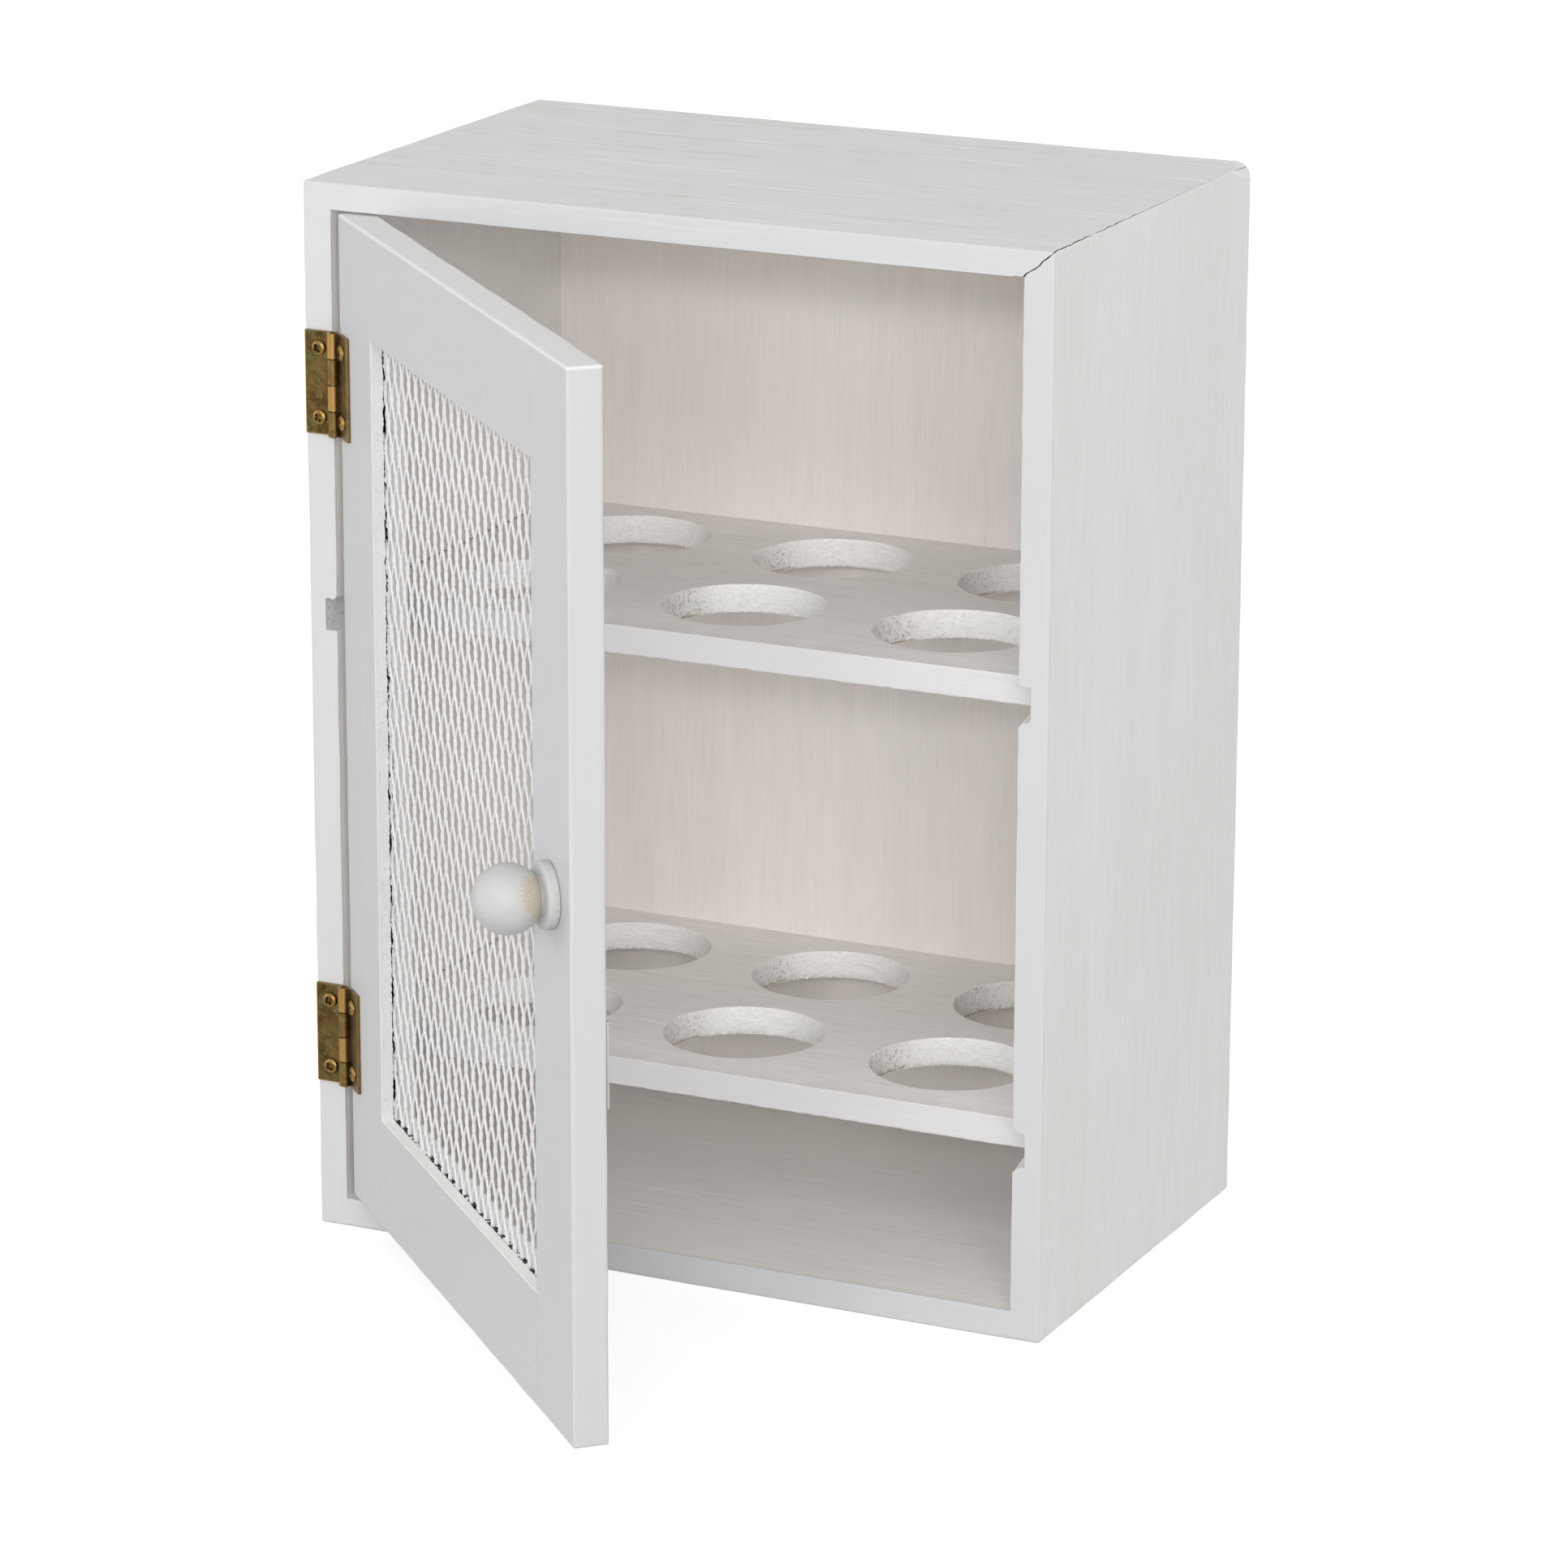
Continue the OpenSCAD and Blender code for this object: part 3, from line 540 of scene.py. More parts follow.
def make_mesh(name, points, faces, marks=None, sharp=35, bevel=0.0):
    """A closed mesh in metres from points in millimetres, merged, facing outwards and shaded"""
    mesh = bpy.data.meshes.new(name)
    mesh.from_pydata([Vector(point) * MM for point in points], [], faces)
    for kind, values in (marks or {}).items():
        mesh.attributes.new(kind, "FLOAT", "POINT").data.foreach_set("value", values)
    form = bmesh.new()
    form.from_mesh(mesh)
    bmesh.ops.remove_doubles(form, verts=form.verts, dist=MERGE * MM)
    bmesh.ops.dissolve_degenerate(form, dist=MERGE * MM, edges=form.edges)
    if bevel:
        edges = [e for e in form.edges if len(e.link_faces) == 2 and e.calc_face_angle() > radians(sharp)]
        bmesh.ops.bevel(
            form, geom=edges, offset=bevel * MM, segments=2, profile=0.6, affect="EDGES", clamp_overlap=True)
    bmesh.ops.recalc_face_normals(form, faces=form.faces)
    form.to_mesh(mesh)
    form.free()
    if marks and "seam" in marks:
        # A joint's faces are marked whole, so that its painted shade ends at the edge
        points_in = [item.value for item in mesh.attributes["seam"].data]
        inside = [float(min(points_in[i] for i in face.vertices) > 0.9) for face in mesh.polygons]
        mesh.attributes.remove(mesh.attributes["seam"])
        mesh.attributes.new("seam", "FLOAT", "FACE").data.foreach_set("value", inside)
    mesh.shade_smooth()
    mesh.set_sharp_from_angle(angle=radians(sharp))
    return mesh


def mark(mesh, name, value_at):
    """Stores a mark on every vertex, worked out from its place in millimetres"""
    values = [value_at(vertex.co / MM) for vertex in mesh.vertices]
    mesh.attributes.new(name, "FLOAT", "POINT").data.foreach_set("value", values)


def show(name, mesh, material, body, slot, *nodes):
    """Puts a finished mesh in the scene as a piece that rides on its body and stands for its nodes"""
    obj = bpy.data.objects.new(name, mesh)
    bpy.context.scene.collection.objects.link(obj)
    coat(obj, material)
    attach(obj, body)
    if nodes:
        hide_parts(*nodes)
    return obj


def keep(node, material):
    """Leaves a frame node showing, with a better material"""
    coat(frame["nodes"][node], material)


def lattice(a_lines, b_lines, c_lines):
    """Points and faces of the surface of a box that is gridded at the given lines"""
    index, points, faces = {}, [], []
    last = (len(a_lines) - 1, len(b_lines) - 1, len(c_lines) - 1)

    def at(i, j, k):
        if (i, j, k) not in index:
            index[i, j, k] = len(points)
            points.append((a_lines[i], b_lines[j], c_lines[k]))
        return index[i, j, k]

    for axis in range(3):
        u, v = (axis + 1) % 3, (axis + 2) % 3
        for end in (0, last[axis]):
            for i in range(last[u]):
                for j in range(last[v]):
                    corners = []
                    for du, dv in ((0, 0), (1, 0), (1, 1), (0, 1)):
                        place = [0, 0, 0]
                        place[axis], place[u], place[v] = end, i + du, j + dv
                        corners.append(at(*place))
                    faces.append(corners)
    return points, faces


def lines(low, high, step, *extra):
    """Sorted lattice lines from low to high: even steps, fine lines at both ends, and extra ones"""
    count = max(1, round((high - low) / step))
    made = {round(low + (high - low) * i / count, 4) for i in range(count + 1)}
    for near in (0.1, 0.25, 0.45, 0.7, 1.1):
        made.update((round(low + near, 4), round(high - near, 4)))
    made.update(round(value, 4) for value in extra if low <= value <= high)
    return sorted(made)


def steps(*values, count=1):
    """Lattice lines close to each value: one on either side of it, or more where a step has to bend"""
    return [value + STEP * (2 * k / count - 1) for value in values for k in range(count + 1)]


# Carcass

def rounded(point, low, high, radius, dip):
    """Eases the edges of a box with the given corners, and lets its faces dip inwards"""
    core = [min(max(v, a + radius), b - radius) for v, a, b in zip(point, low, high)]
    away = [v - c for v, c in zip(point, core)]
    reach = hypot(*away)
    if reach < radius - 2 * STEP:
        return point
    keep_reach = radius - dip
    return tuple(c + d * keep_reach / reach for c, d in zip(core, away))


def shaped(points, shape):
    """Applies a shape function to lattice points, and gathers its marks for bare and torn wood and for the
    painted shade of joints
    """
    placed = [shape(*point) for point in points]
    marks = {kind: [p[3 + i] for p in placed] for i, kind in enumerate(("bare", "torn", "seam"))}
    return [p[:3] for p in placed], marks


def coats(placed):
    """Marks for a carcass board: its front edge got a smoother, cooler coat, darkened as painted shade, and
    its inner face a paler, pinker tone as painted warm bounce light
    """
    plain, thin = [], []
    for x, y, z in placed:
        plain.append(ease(FRONT + 1.1, FRONT + 0.15, y))
        # The side boards' inner faces get a paler, pinker tone as painted warm bounce light
        inner = ease(INNER_X + 0.6, INNER_X + 0.2, abs(x)) * ease(FRONT + 0.5, FRONT + 2, y)
        thin.append(inner * ease(1.0, 0.3, GROUND - z) * ease(1.0, 0.3, z - CEILING))
    return {"plain": plain, "thin": thin}


def on_round(first, second, size):
    """Two distances behind the faces of an edge, moved onto its round, or None where they lie inside it"""
    reach = hypot(size - first, size - second)
    if first >= size or second >= size or reach <= size:
        return None
    return size - (size - first) * size / reach, size - (size - second) * size / reach


def dip_at(point, depth):
    """How far hand sanding dips in at a point, never less than nothing"""
    broad = 0.5 + 0.5 * rough_value(point, 45, 3)
    fine = 0.5 + 0.5 * rough_value(point, 2.2, 9)
    return depth * max(0.0, 0.7 * broad + 0.3 * fine)


def carcass_edges(point, board):
    """Eases the cabinet's outside, more so at its worn top right corner at the back"""
    x, y, z = point
    worn = board.worn_corner / MM * ease(REAR - 16, REAR - 2, y)
    out_x, out_z = x - OUT_HIGH[0] + worn, z - OUT_HIGH[2] + worn
    if out_x > 0 and out_z > 0:
        reach = hypot(out_x, out_z)
        if reach > worn:
            x = OUT_HIGH[0] - worn + out_x * worn / reach
            z = OUT_HIGH[2] - worn + out_z * worn / reach
            point = (x, y, z)
    radius = board.easing / MM * (1 + 0.35 * rough_value(point, 14, 5))
    depth = board.waviness / MM
    return rounded(point, OUT_LOW, OUT_HIGH, radius, dip_at(point, depth))


def crack_shift(share, y, board):
    """How far the open mitre strays across its plane, at a share of its length and a depth"""
    spot = (share * 10, y, 0)
    wave = rough_value(spot, 3.1, 4) * 0.6 + rough_value(spot, 1.1, 7) * 0.45
    calmer = 1 - 0.7 * ease(20, 80, y - FRONT)
    return board.crack_jag / MM * (wave + rough_value(spot, 0.5, 3) * 0.2) * calmer


def crack_width(share, y, board):
    """Width of the open mitre, which pinches shut here and there and closes towards the back"""
    back = min(1.0, max(0.0, (y - FRONT) / (REAR - FRONT)))
    pinch = ease(-0.75, -0.35, rough_value((share * 4, y, 2), 6, 2) - 0.5 * back + 0.25)
    thin = 1 + 0.35 * rough_value((share * 10, y, 1), 1.4, 11)
    return board.crack / MM * (1 - back) ** 1.6 * (0.15 + 0.85 * pinch) * thin


def strayed(x, z, stray):
    """A point of the top right mitre, moved across its plane"""
    slant = hypot(SIDE_T, TOP_T)
    return x - stray * TOP_T / slant, z + stray * SIDE_T / slant


def ledge(t, y, floor, board, side):
    """Height of a housing's floor, which has broken away at the front of the right board"""
    depth = y - FRONT
    worn = 0.12 * rough_value((t, y, floor), 1.3, side) * (1 - ease(2, 9, depth))
    if side > 0:
        lip = board.broken_lip / MM
        worn += lip * (0.95 + 0.2 * rough_value((t, 0, floor), 1.1, 4)) * (1 - ease(0.4, 6, depth))
        worn += 1.3 * (1 - ease(0, 1.7, t)) * (1 - 0.8 * ease(3, 11, depth))
    return floor - max(0.0, worn)


def roof_lip(t, y, roof, board, side):
    """Height of a housing's roof, a little ragged at the front and worn round at its inner corner"""
    depth = y - FRONT
    fade = 1 - ease(0, 7, depth)
    corner = 1 - ease(0, 1.8, t)
    ragged = (0.25 + 0.9 * corner) * max(0.0, rough_value((t, 0.3 * y, roof), 1.2, side + 3) + 0.1)
    round_off = (1.4 if side > 0 and roof < OUT_HIGH[2] / 2 else 0.3) * corner ** 1.5
    return roof + fade * (ragged + round_off)


def board_lines(length_low, length_high, thick, fine_y, fine_ends, extra=()):
    """Lattice lines of a mitred board: along it, through its thickness and back from its front"""
    ends = [1.6, 2.2, 3, 4, 5.2, 6.5, 8, 10]
    along = lines(length_low, length_high, 5, *[length_low + e for e in ends],
                  *[length_high - e for e in ends], *extra)
    across = lines(0, thick, 0.45 if fine_ends else 1.2, *steps(LAP), *steps(HOUSING_T))
    back = lines(FRONT, REAR, 0.8 if fine_y else 3, *steps(PANEL_LOW[1]))
    return along, across, back


def side_board(name, side, board, material):
    """A side board with its mitres, its rebate and the housings of both shelves"""
    floors = [LOWER_LOW[2], UPPER_LOW[2]]
    roofs = [LOWER_HIGH[2] + HOUSING_ROOM, UPPER_HIGH[2] + HOUSING_ROOM]
    # Lines are dense below the floors and above the roofs, where the wood has broken away
    near = (0.12, 0.3, 0.6, 0.9, 1.3, 1.7, 2.2, 2.8, 3.5, 4.4)
    extra = steps(*floors, *roofs, count=6) + [f - d for f in floors for d in near]
    extra += [r + d for r in roofs for d in near]
    points, faces = lattice(*board_lines(0, OUT_HIGH[2], SIDE_T, side > 0, True, extra))

    def shape(z, t, y):
        bare = torn = seam = 0.0
        inside = False
        for floor, roof in zip(floors, roofs):
            if floor - STEP <= z <= roof + STEP:
                share = min(1, (z - floor + STEP) / (2 * STEP), (roof + STEP - z) / (2 * STEP))
                deepest = HOUSING_T * share
                inside = t < HOUSING_T - 2 * STEP or t <= deepest
                t = max(t, deepest)
                if inside:
                    torn = 0.15 + 0.45 * share
                    if z <= floor + STEP:
                        z = ledge(t, y, floor, board, side)
                        bare = 0.5 * (1 - ease(2, 8, y - FRONT))
                    elif z >= roof - STEP:
                        z = roof_lip(t, y, roof, board, side)
            elif t < HOUSING_T and y < FRONT + 12:
                if floor - 5 < z < floor:
                    z = min(z, ledge(t, y, floor, board, side))
                elif roof < z < roof + 5:
                    z = max(z, roof_lip(t, y, roof, board, side))
        if y > PANEL_LOW[1] and t < LAP:
            t = LAP
        t_share = t / SIDE_T
        low_end = GROUND * (1 - t_share)
        high_end = CEILING + TOP_T * t_share
        x = INNER_X + t
        # The mitre's faces get the painted shade of a joint
        if z <= low_end:
            z, seam = low_end, 1.0
        elif z >= high_end - (CRACK_EDGE if side > 0 else 0):
            z, seam = high_end, 1.0
            if side > 0:
                x, z = strayed(x, z, crack_shift(t_share, y, board))
        # The arris round the opening is eased and wanders slightly
        small = board.inner_easing / MM * (1 + 0.5 * rough_value((x, y, z), 6, 6))
        depth = y - FRONT
        if t < small and depth < small:
            bare = max(bare, ARRIS_BARE)
            eased = on_round(t, depth, small)
            if eased:
                t, depth = eased
                x, y = INNER_X + t, FRONT + depth
        if t < 2.5 and depth < 5 and not inside:
            drift = 0.12 * rough_value((0, 0, z), 7, side + 12) + 0.06 * rough_value((0, 0, z), 1.6, side + 2)
            if side > 0 and z < GROUND + 9:
                rough = max(0.0, rough_value((0, 0, z), 1.3, 5) + 0.25)
                drift += 0.7 * rough * ease(GROUND + 7, GROUND + 2, z) * ease(GROUND, GROUND + 1.2, z)
            x += drift * (1 - t / 2.5) * (1 - depth / 5)
        return (*carcass_edges((side * x, y, z), board), bare, torn, seam)

    placed, marks = shaped(points, shape)
    mesh = make_mesh(name, placed, faces, marks | coats(placed))
    return show(name + "_piece", mesh, material, "cabinet", "cabinet_paint", name)


def flat_board(name, top, board, material):
    """The top or the bottom board with its mitres and its rebate"""
    thick = TOP_T if top else GROUND
    along, across, back = board_lines(OUT_LOW[0], OUT_HIGH[0], thick, top, top)
    if top:
        along = sorted(set(along) | {OUT_HIGH[0] - 0.3 * i for i in range(8)})
    points, faces = lattice(along, across, back)

    def shape(x, t, y):
        bare = seam = 0.0
        if y > PANEL_LOW[1] and t < LAP:
            t = LAP
        share = t / thick
        end = INNER_X + SIDE_T * share
        z = CEILING + t if top else GROUND - t
        # The mitre's faces get the painted shade of a joint
        if x <= -end:
            x, seam = -end, 1.0
        elif x >= end - (CRACK_TOP_EDGE if top else 0):
            x, seam = end, 1.0
            if top:
                x, z = strayed(x, z, crack_shift(share, y, board) + crack_width(share, y, board))
        small = board.inner_easing / MM * (1 + 0.5 * rough_value((x, y, z), 6, 6))
        depth = y - FRONT
        if t < small and depth < small:
            bare = max(bare, ARRIS_BARE)
            eased = on_round(t, depth, small)
            if eased:
                z += eased[0] - t if top else t - eased[0]
                y = FRONT + eased[1]
        x, y, z = carcass_edges((x, y, z), board)
        return x, y, z, bare, 0.0, seam

    placed, marks = shaped(points, shape)
    mesh = make_mesh(name, placed, faces, marks | coats(placed))
    return show(name + "_piece", mesh, material, "cabinet", "cabinet_paint", name)


class CUPBOARD_OT_carcass(bpy.types.Operator):
    """Builds the four mitred boards of the carcass"""
    bl_idname = "cupboard.carcass"
    bl_label = "Carcass"

    def execute(self, context):
        settings = context.scene.egg_cupboard
        board, finish = settings.board, settings.finish
        upright = finish_of(painted_wood, "satin paint on upright boards", finish.carcass, "Z", finish,
                            streaks=0.25, fibres=0.25, specks=0.5)
        level = finish_of(painted_wood, "satin paint on level boards", finish.carcass, "X", finish,
                          streaks=1.3, fibres=0.3, specks=0.2)
        calm = finish_of(painted_wood, "satin paint on the bottom board", finish.carcass, "X", finish,
                         streaks=0.6, fibres=0.25, specks=0.2)
        side_board("left_side", -1, board, upright)
        side_board("right_side", 1, board, upright)
        flat_board("top_board", True, board, level)
        flat_board("bottom_board", False, board, calm)
        return {"FINISHED"}


# Back

class CUPBOARD_OT_back(bpy.types.Operator):
    """Builds the plywood back and the nails that hold it"""
    bl_idname = "cupboard.back"
    bl_label = "Back"

    def execute(self, context):
        finish = context.scene.egg_cupboard.finish
        low, high = PANEL_LOW, PANEL_HIGH
        points, faces = lattice(
            lines(low[0], high[0], 8), lines(low[1], high[1], 0.6), lines(low[2], high[2], 8))

        def shape(x, y, z):
            eased = rounded((x, y, z), low, high, 0.25, dip_at((x, y, z), 0.05))
            return (*eased, 0.0, 0.0, 0.0)

        placed, marks = shaped(points, shape)
        mesh = make_mesh("back_panel", placed, faces, marks)
        ply = finish_of(washed_plywood, "washed plywood", finish)
        show("back_panel_piece", mesh, ply, "cabinet", "back_plywood", "back_panel")
        nail_low, nail_high = limits("back_nails")
        head = 1.1
        # Nails stand in the rebates: five pairs up the sides, and two each above and below
        side_x = nail_high[0] - head
        heights = [25.5, 76.05, 126.15, 182.15, 229.65]
        places = [(side * side_x, REAR, z) for side in (-1, 1) for z in heights]
        places += [(side * INNER_X / 2, REAR, z)
                   for side in (-1, 1) for z in (nail_low[2] + head, nail_high[2] - head)]
        nail = spun("nail", [(0, 0), (0.75, 0), (1.0, -0.08), (head, -0.25), (1.08, -0.5), (0.6, -0.52),
                             (0.6, -8.6), (0.1, -10), (0, -10)], 20)
        steel = finish_of(plated_steel, "zinc-plated steel", finish)
        set_of("back_nails_piece", nail, places, (0, 1, 0), 0, 1, steel, "cabinet", "steel", "back_nails")
        return {"FINISHED"}


def turned_faces(count, size):
    """Faces between the outlines of a turned form, each of size points"""
    faces = []
    for i in range(count):
        here, after = i * size, (i + 1) % count * size
        for k in range(size - 1):
            faces.append((here + k, after + k, after + k + 1, here + k + 1))
    return faces


def spun(name, outline, count):
    """A closed mesh turned about Z from an outline of radius and height, in millimetres"""
    points = []
    for i in range(count):
        angle = 2 * pi * i / count
        points += [(r * cos(angle), r * sin(angle), h) for r, h in outline]
    return make_mesh(name, points, turned_faces(count, len(outline)), sharp=32)


# Shelves

def rectangle_rim(x0, x1, y0, y1, count):
    """Points round a rectangle, with count points on each side"""
    share = [i / count for i in range(count)]
    rim = [(x0 + (x1 - x0) * s, y0) for s in share]
    rim += [(x1, y0 + (y1 - y0) * s) for s in share]
    rim += [(x1 - (x1 - x0) * s, y1) for s in share]
    rim += [(x0, y1 - (y1 - y0) * s) for s in share]
    return rim


def bored(x, y, z, drop, thick, centre, radius, tear, seed):
    """A point at a hole, moved where the drill tore the wood, and its marks: bare and torn wood, and the
    wall's painted highlight
    """
    dx, dy = x - centre[0], y - centre[1]
    angle = atan2(dy, dx)
    end_grain = ease(0.72, 0.93, abs(cos(angle)))
    lower = ease(thick - 1.4, thick - 0.1, drop)
    wobble = 0.07 * rough_value((x, y, z), 9, seed) + 0.04 * rough_value((x, y, z), 1.5, seed + 1)
    pit = max(0.0, rough_value((x, y, z), 0.9, seed + 2) - 0.35) * 0.7 * end_grain
    rag = max(0.0, tear * lower * (0.45 + rough_value((x, y, 0), 0.8, seed + 3) + 0.6 * end_grain))
    inside = ease(0.5, 0.0, hypot(dx, dy) - radius)
    out = (wobble + (pit + rag) * inside) if inside > 0 else 0
    moved = (x + cos(angle) * out, y + sin(angle) * out, z + 0.35 * rag * lower * inside)
    if drop <= 0.1:
        return moved, 0.0, 0.0, 0.0
    return moved, 0.95 * lower * inside * (0.6 + 0.4 * end_grain), 0.8 * end_grain * inside, inside


def shelf_front(x, y, z, low, high, easing, bare, chipped, seed):
    """A point of a shelf's front edge: rounded, ragged below, where the paint is thin, and chipped above"""
    depth, up = y - low[1], z - low[2]
    base = easing * (0.75 + 0.3 * rough_value((x, 0, 0), 3, seed + 5))
    crown = 0.22 * (1 + 0.6 * rough_value((x, 0, 0), 4, seed + 6))
    chip = 1.2 * ease(0.55, 0.9, rough_value((x, 0, 0), 16, seed + 18)) if chipped else 0
    crown += chip * max(0.0, 0.5 + rough_value((x, 0, 0), 1.8, 2))
    bare = max(bare, 0.45 * ease(base + 0.2, base - 0.15, up) * ease(1.0, 0.2, depth))
    for size, gap in ((base, up), (crown, high[2] - z)):
        eased = on_round(depth, gap, size)
        if eased:
            depth = eased[0]
            z = low[2] + eased[1] if size == base else high[2] - eased[1]
    depth += 0.05 * (1 + rough_value((x, 0, z), 2.5, seed + 7)) * ease(2, 0, depth)
    if up < 0.8:
        z += 0.22 * max(0.0, rough_value((x, 0, 0), 0.9, seed + 9)) * ease(0.8, 0, up)
    return low[1] + depth, z, bare


def shelf_piece(name, low, high, settings, material, lower):
    """A shelf with its six holes: smooth along the grain, pitted across it, and torn below"""
    shelf, easing = settings.shelf, settings.board.easing / MM
    radius = shelf.hole / MM / 2
    pitch, rows = shelf.pitch_across / MM, shelf.pitch_back / MM
    first = low[1] + shelf.first_row / MM
    # The lower shelf was bored with a blunter drill, and has a chipped front edge
    seed = 1 if lower else 0
    tear = shelf.tear / MM * (1.6 if lower else 1)
    thick = high[2] - low[2]
    # Points on each side of the rectangle round a hole
    count = 72
    # Distance into the top face and height below it, from the rim down the wall to the underside
    wall = [(0.35, 0), (0.12, 0.04), (0, 0.2), (0, 0.7), (0, 1.4), (0, 2.2), (0, 3.1), (0, 4), (0, 4.9),
            (0, 5.7), (0, 6.4), (0, thick - 0.3), (0.08, thick - 0.08), (0.3, thick)]
    edge_rows = [0, 0.1, 0.25, 0.6, 2, 4]
    edge_rows += [thick - rest for rest in (1.1, 0.7, 0.45, 0.25, 0.1, 0)]
    bounds_x = [low[0], -pitch / 2, pitch / 2, high[0]]
    bounds_y = [low[1], first + rows / 2, high[1]]
    points, marks, faces = [], {"bare": [], "torn": [], "plain": [], "thick": []}, []

    def put(x, y, drop, centre=None):
        """Adds one point of the shelf and its marks, and returns its number"""
        z, bare, torn, wall_highlight = high[2] - drop, 0.0, 0.0, 0.0
        if centre:
            moved, bare, torn, wall_highlight = bored(x, y, z, drop, thick, centre, radius, tear, seed)
            x, y, z = moved
        if y - low[1] < 2:
            y, z, bare = shelf_front(x, y, z, low, high, easing, bare, lower, seed)
        points.append((x, y, z))
        marks["bare"].append(bare)
        marks["torn"].append(torn)
        # The shelf's front edge gets the smooth front coat, darkened as painted shade
        marks["plain"].append(0.65 * ease(low[1] + 1.1, low[1] + 0.15, y))
        # A painted highlight whitens the holes' walls, and the top face towards the front
        front = (0.3 + 0.55 * ease(low[1] + 50, low[1] + 8, y)) * ease(low[1] + 0.15, low[1] + 1.1, y)
        marks["thick"].append(max(0.85 * wall_highlight, front))
        return len(points) - 1

    def row_round(centre, ways, share, drop, near):
        """A closed row of points round a hole, at a share of the way from its rim to the rectangle"""
        outs = [radius + (way[2] - radius) * share for way in ways]
        return [put(centre[0] + way[0] * out, centre[1] + way[1] * out, drop, centre if near else None)
                for way, out in zip(ways, outs)]

    def band(first_row, second_row):
        """Joins two closed rows of points"""
        size = len(first_row)
        for k in range(size):
            after = (k + 1) % size
            faces.append((first_row[k], first_row[after], second_row[after], second_row[k]))

    for i in range(3):
        for j in range(2):
            centre = ((i - 1) * pitch, first + j * rows)
            rim = rectangle_rim(bounds_x[i], bounds_x[i + 1], bounds_y[j], bounds_y[j + 1], count)
            ways = []
            for x, y in rim:
                reach = hypot(x - centre[0], y - centre[1])
                ways.append(((x - centre[0]) / reach, (y - centre[1]) / reach, reach))
            top, under = (
                [row_round(centre, ways, share, drop, share < 0.5) for share in (1.0, 0.97, 0.35, 0.08)]
                for drop in (0, thick))
            ring = [[put(centre[0] + w[0] * (radius + out), centre[1] + w[1] * (radius + out), drop, centre)
                     for w in ways] for out, drop in wall]
            chain = top + ring + under[::-1]
            for one, two in zip(chain, chain[1:]):
                band(one, two)
            # The sides of this hole's rectangle that lie on the shelf's edge: front, right, back and left
            sides = [n for n, outer in enumerate((j == 0, i == 2, j == 1, i == 0)) if outer]
            for n in sides:
                strip = [rim[k % (4 * count)] for k in range(n * count, (n + 1) * count + 1)]
                grid = [[put(x, y, drop) for x, y in strip] for drop in edge_rows]
                for upper, below in zip(grid, grid[1:]):
                    for k in range(count):
                        faces.append((upper[k], upper[k + 1], below[k + 1], below[k]))
    mesh = make_mesh(name, points, faces, marks, sharp=40)
    return show(name + "_piece", mesh, material, "cabinet", "shelf_paint", name)


class CUPBOARD_OT_shelves(bpy.types.Operator):
    """Builds both bored shelves"""
    bl_idname = "cupboard.shelves"
    bl_label = "Shelves"

    def execute(self, context):
        settings = context.scene.egg_cupboard
        finish = settings.finish
        paint = finish_of(painted_wood, "thin paint on bored shelves", finish.shelf, "X", finish,
                          streaks=0.7, fibres=0.45, specks=0.6)
        shelf_piece("upper_shelf", UPPER_LOW, UPPER_HIGH, settings, paint, False)
        shelf_piece("lower_shelf", LOWER_LOW, LOWER_HIGH, settings, paint, True)
        return {"FINISHED"}


# Door frame

def reveal(length, width, y, rim, inward, upright, fine):
    """A point of the window's reveal, which the router left rough, with its mark for torn wood: paint has
    closed parts of the kerf, and its lips are jagged"""
    if upright:
        open_gap = 0.5 + 0.45 * rough_value((length, 0, 0), 4.5, rim)
    else:
        open_gap = 0.35 + 0.4 * rough_value((length, 0, 0), 3, rim)
    open_gap = min(0.8, max(0.03, open_gap + 0.3 * fine - (0.6 if fine > 0.5 else 0)))
    jag = 0.12 * rough_value((length, 0, 0), 1.5, rim + 9)
    jag += 0.16 * rough_value((length, 0, 0), 0.6, rim)
    torn = 0.0
    if KERF_FRONT < y < KERF_BACK:
        share = (y - KERF_FRONT) / (KERF_BACK - KERF_FRONT)
        if share < 0.3:
            y = KERF_FRONT + open_gap * share / 0.27
            width = rim - inward * KERF_D
        elif share > 0.7:
            y = KERF_BACK - 0.25 * (1 - share) / 0.27 + (0 if upright else 0.45)
            clogged = rough_value((length, 0, 0), 2.2, rim + 6) <= 0.1
            width = rim - inward * (0.3 if clogged else KERF_D)
        else:
            filled = KERF_BACK - 0.25 - KERF_FRONT - open_gap
            y = KERF_FRONT + open_gap + (share - 0.3) / 0.4 * filled
            width = rim - inward * (0.3 + 0.15 * rough_value((length, y, 0), 1.5, rim))
        y += jag * 0.7
    elif 0.6 < y < DOOR_T - 0.6:
        y += jag * ease(1.4, 0, min(abs(y - KERF_FRONT), abs(y - KERF_BACK)))
        width -= inward * (0.04 + 0.1 * max(0.0, rough_value((length, y, 0), 1.1, rim + 2)))
        torn = 0.22 if y < KERF_FRONT + 0.5 else 0.1
    return width, y, torn


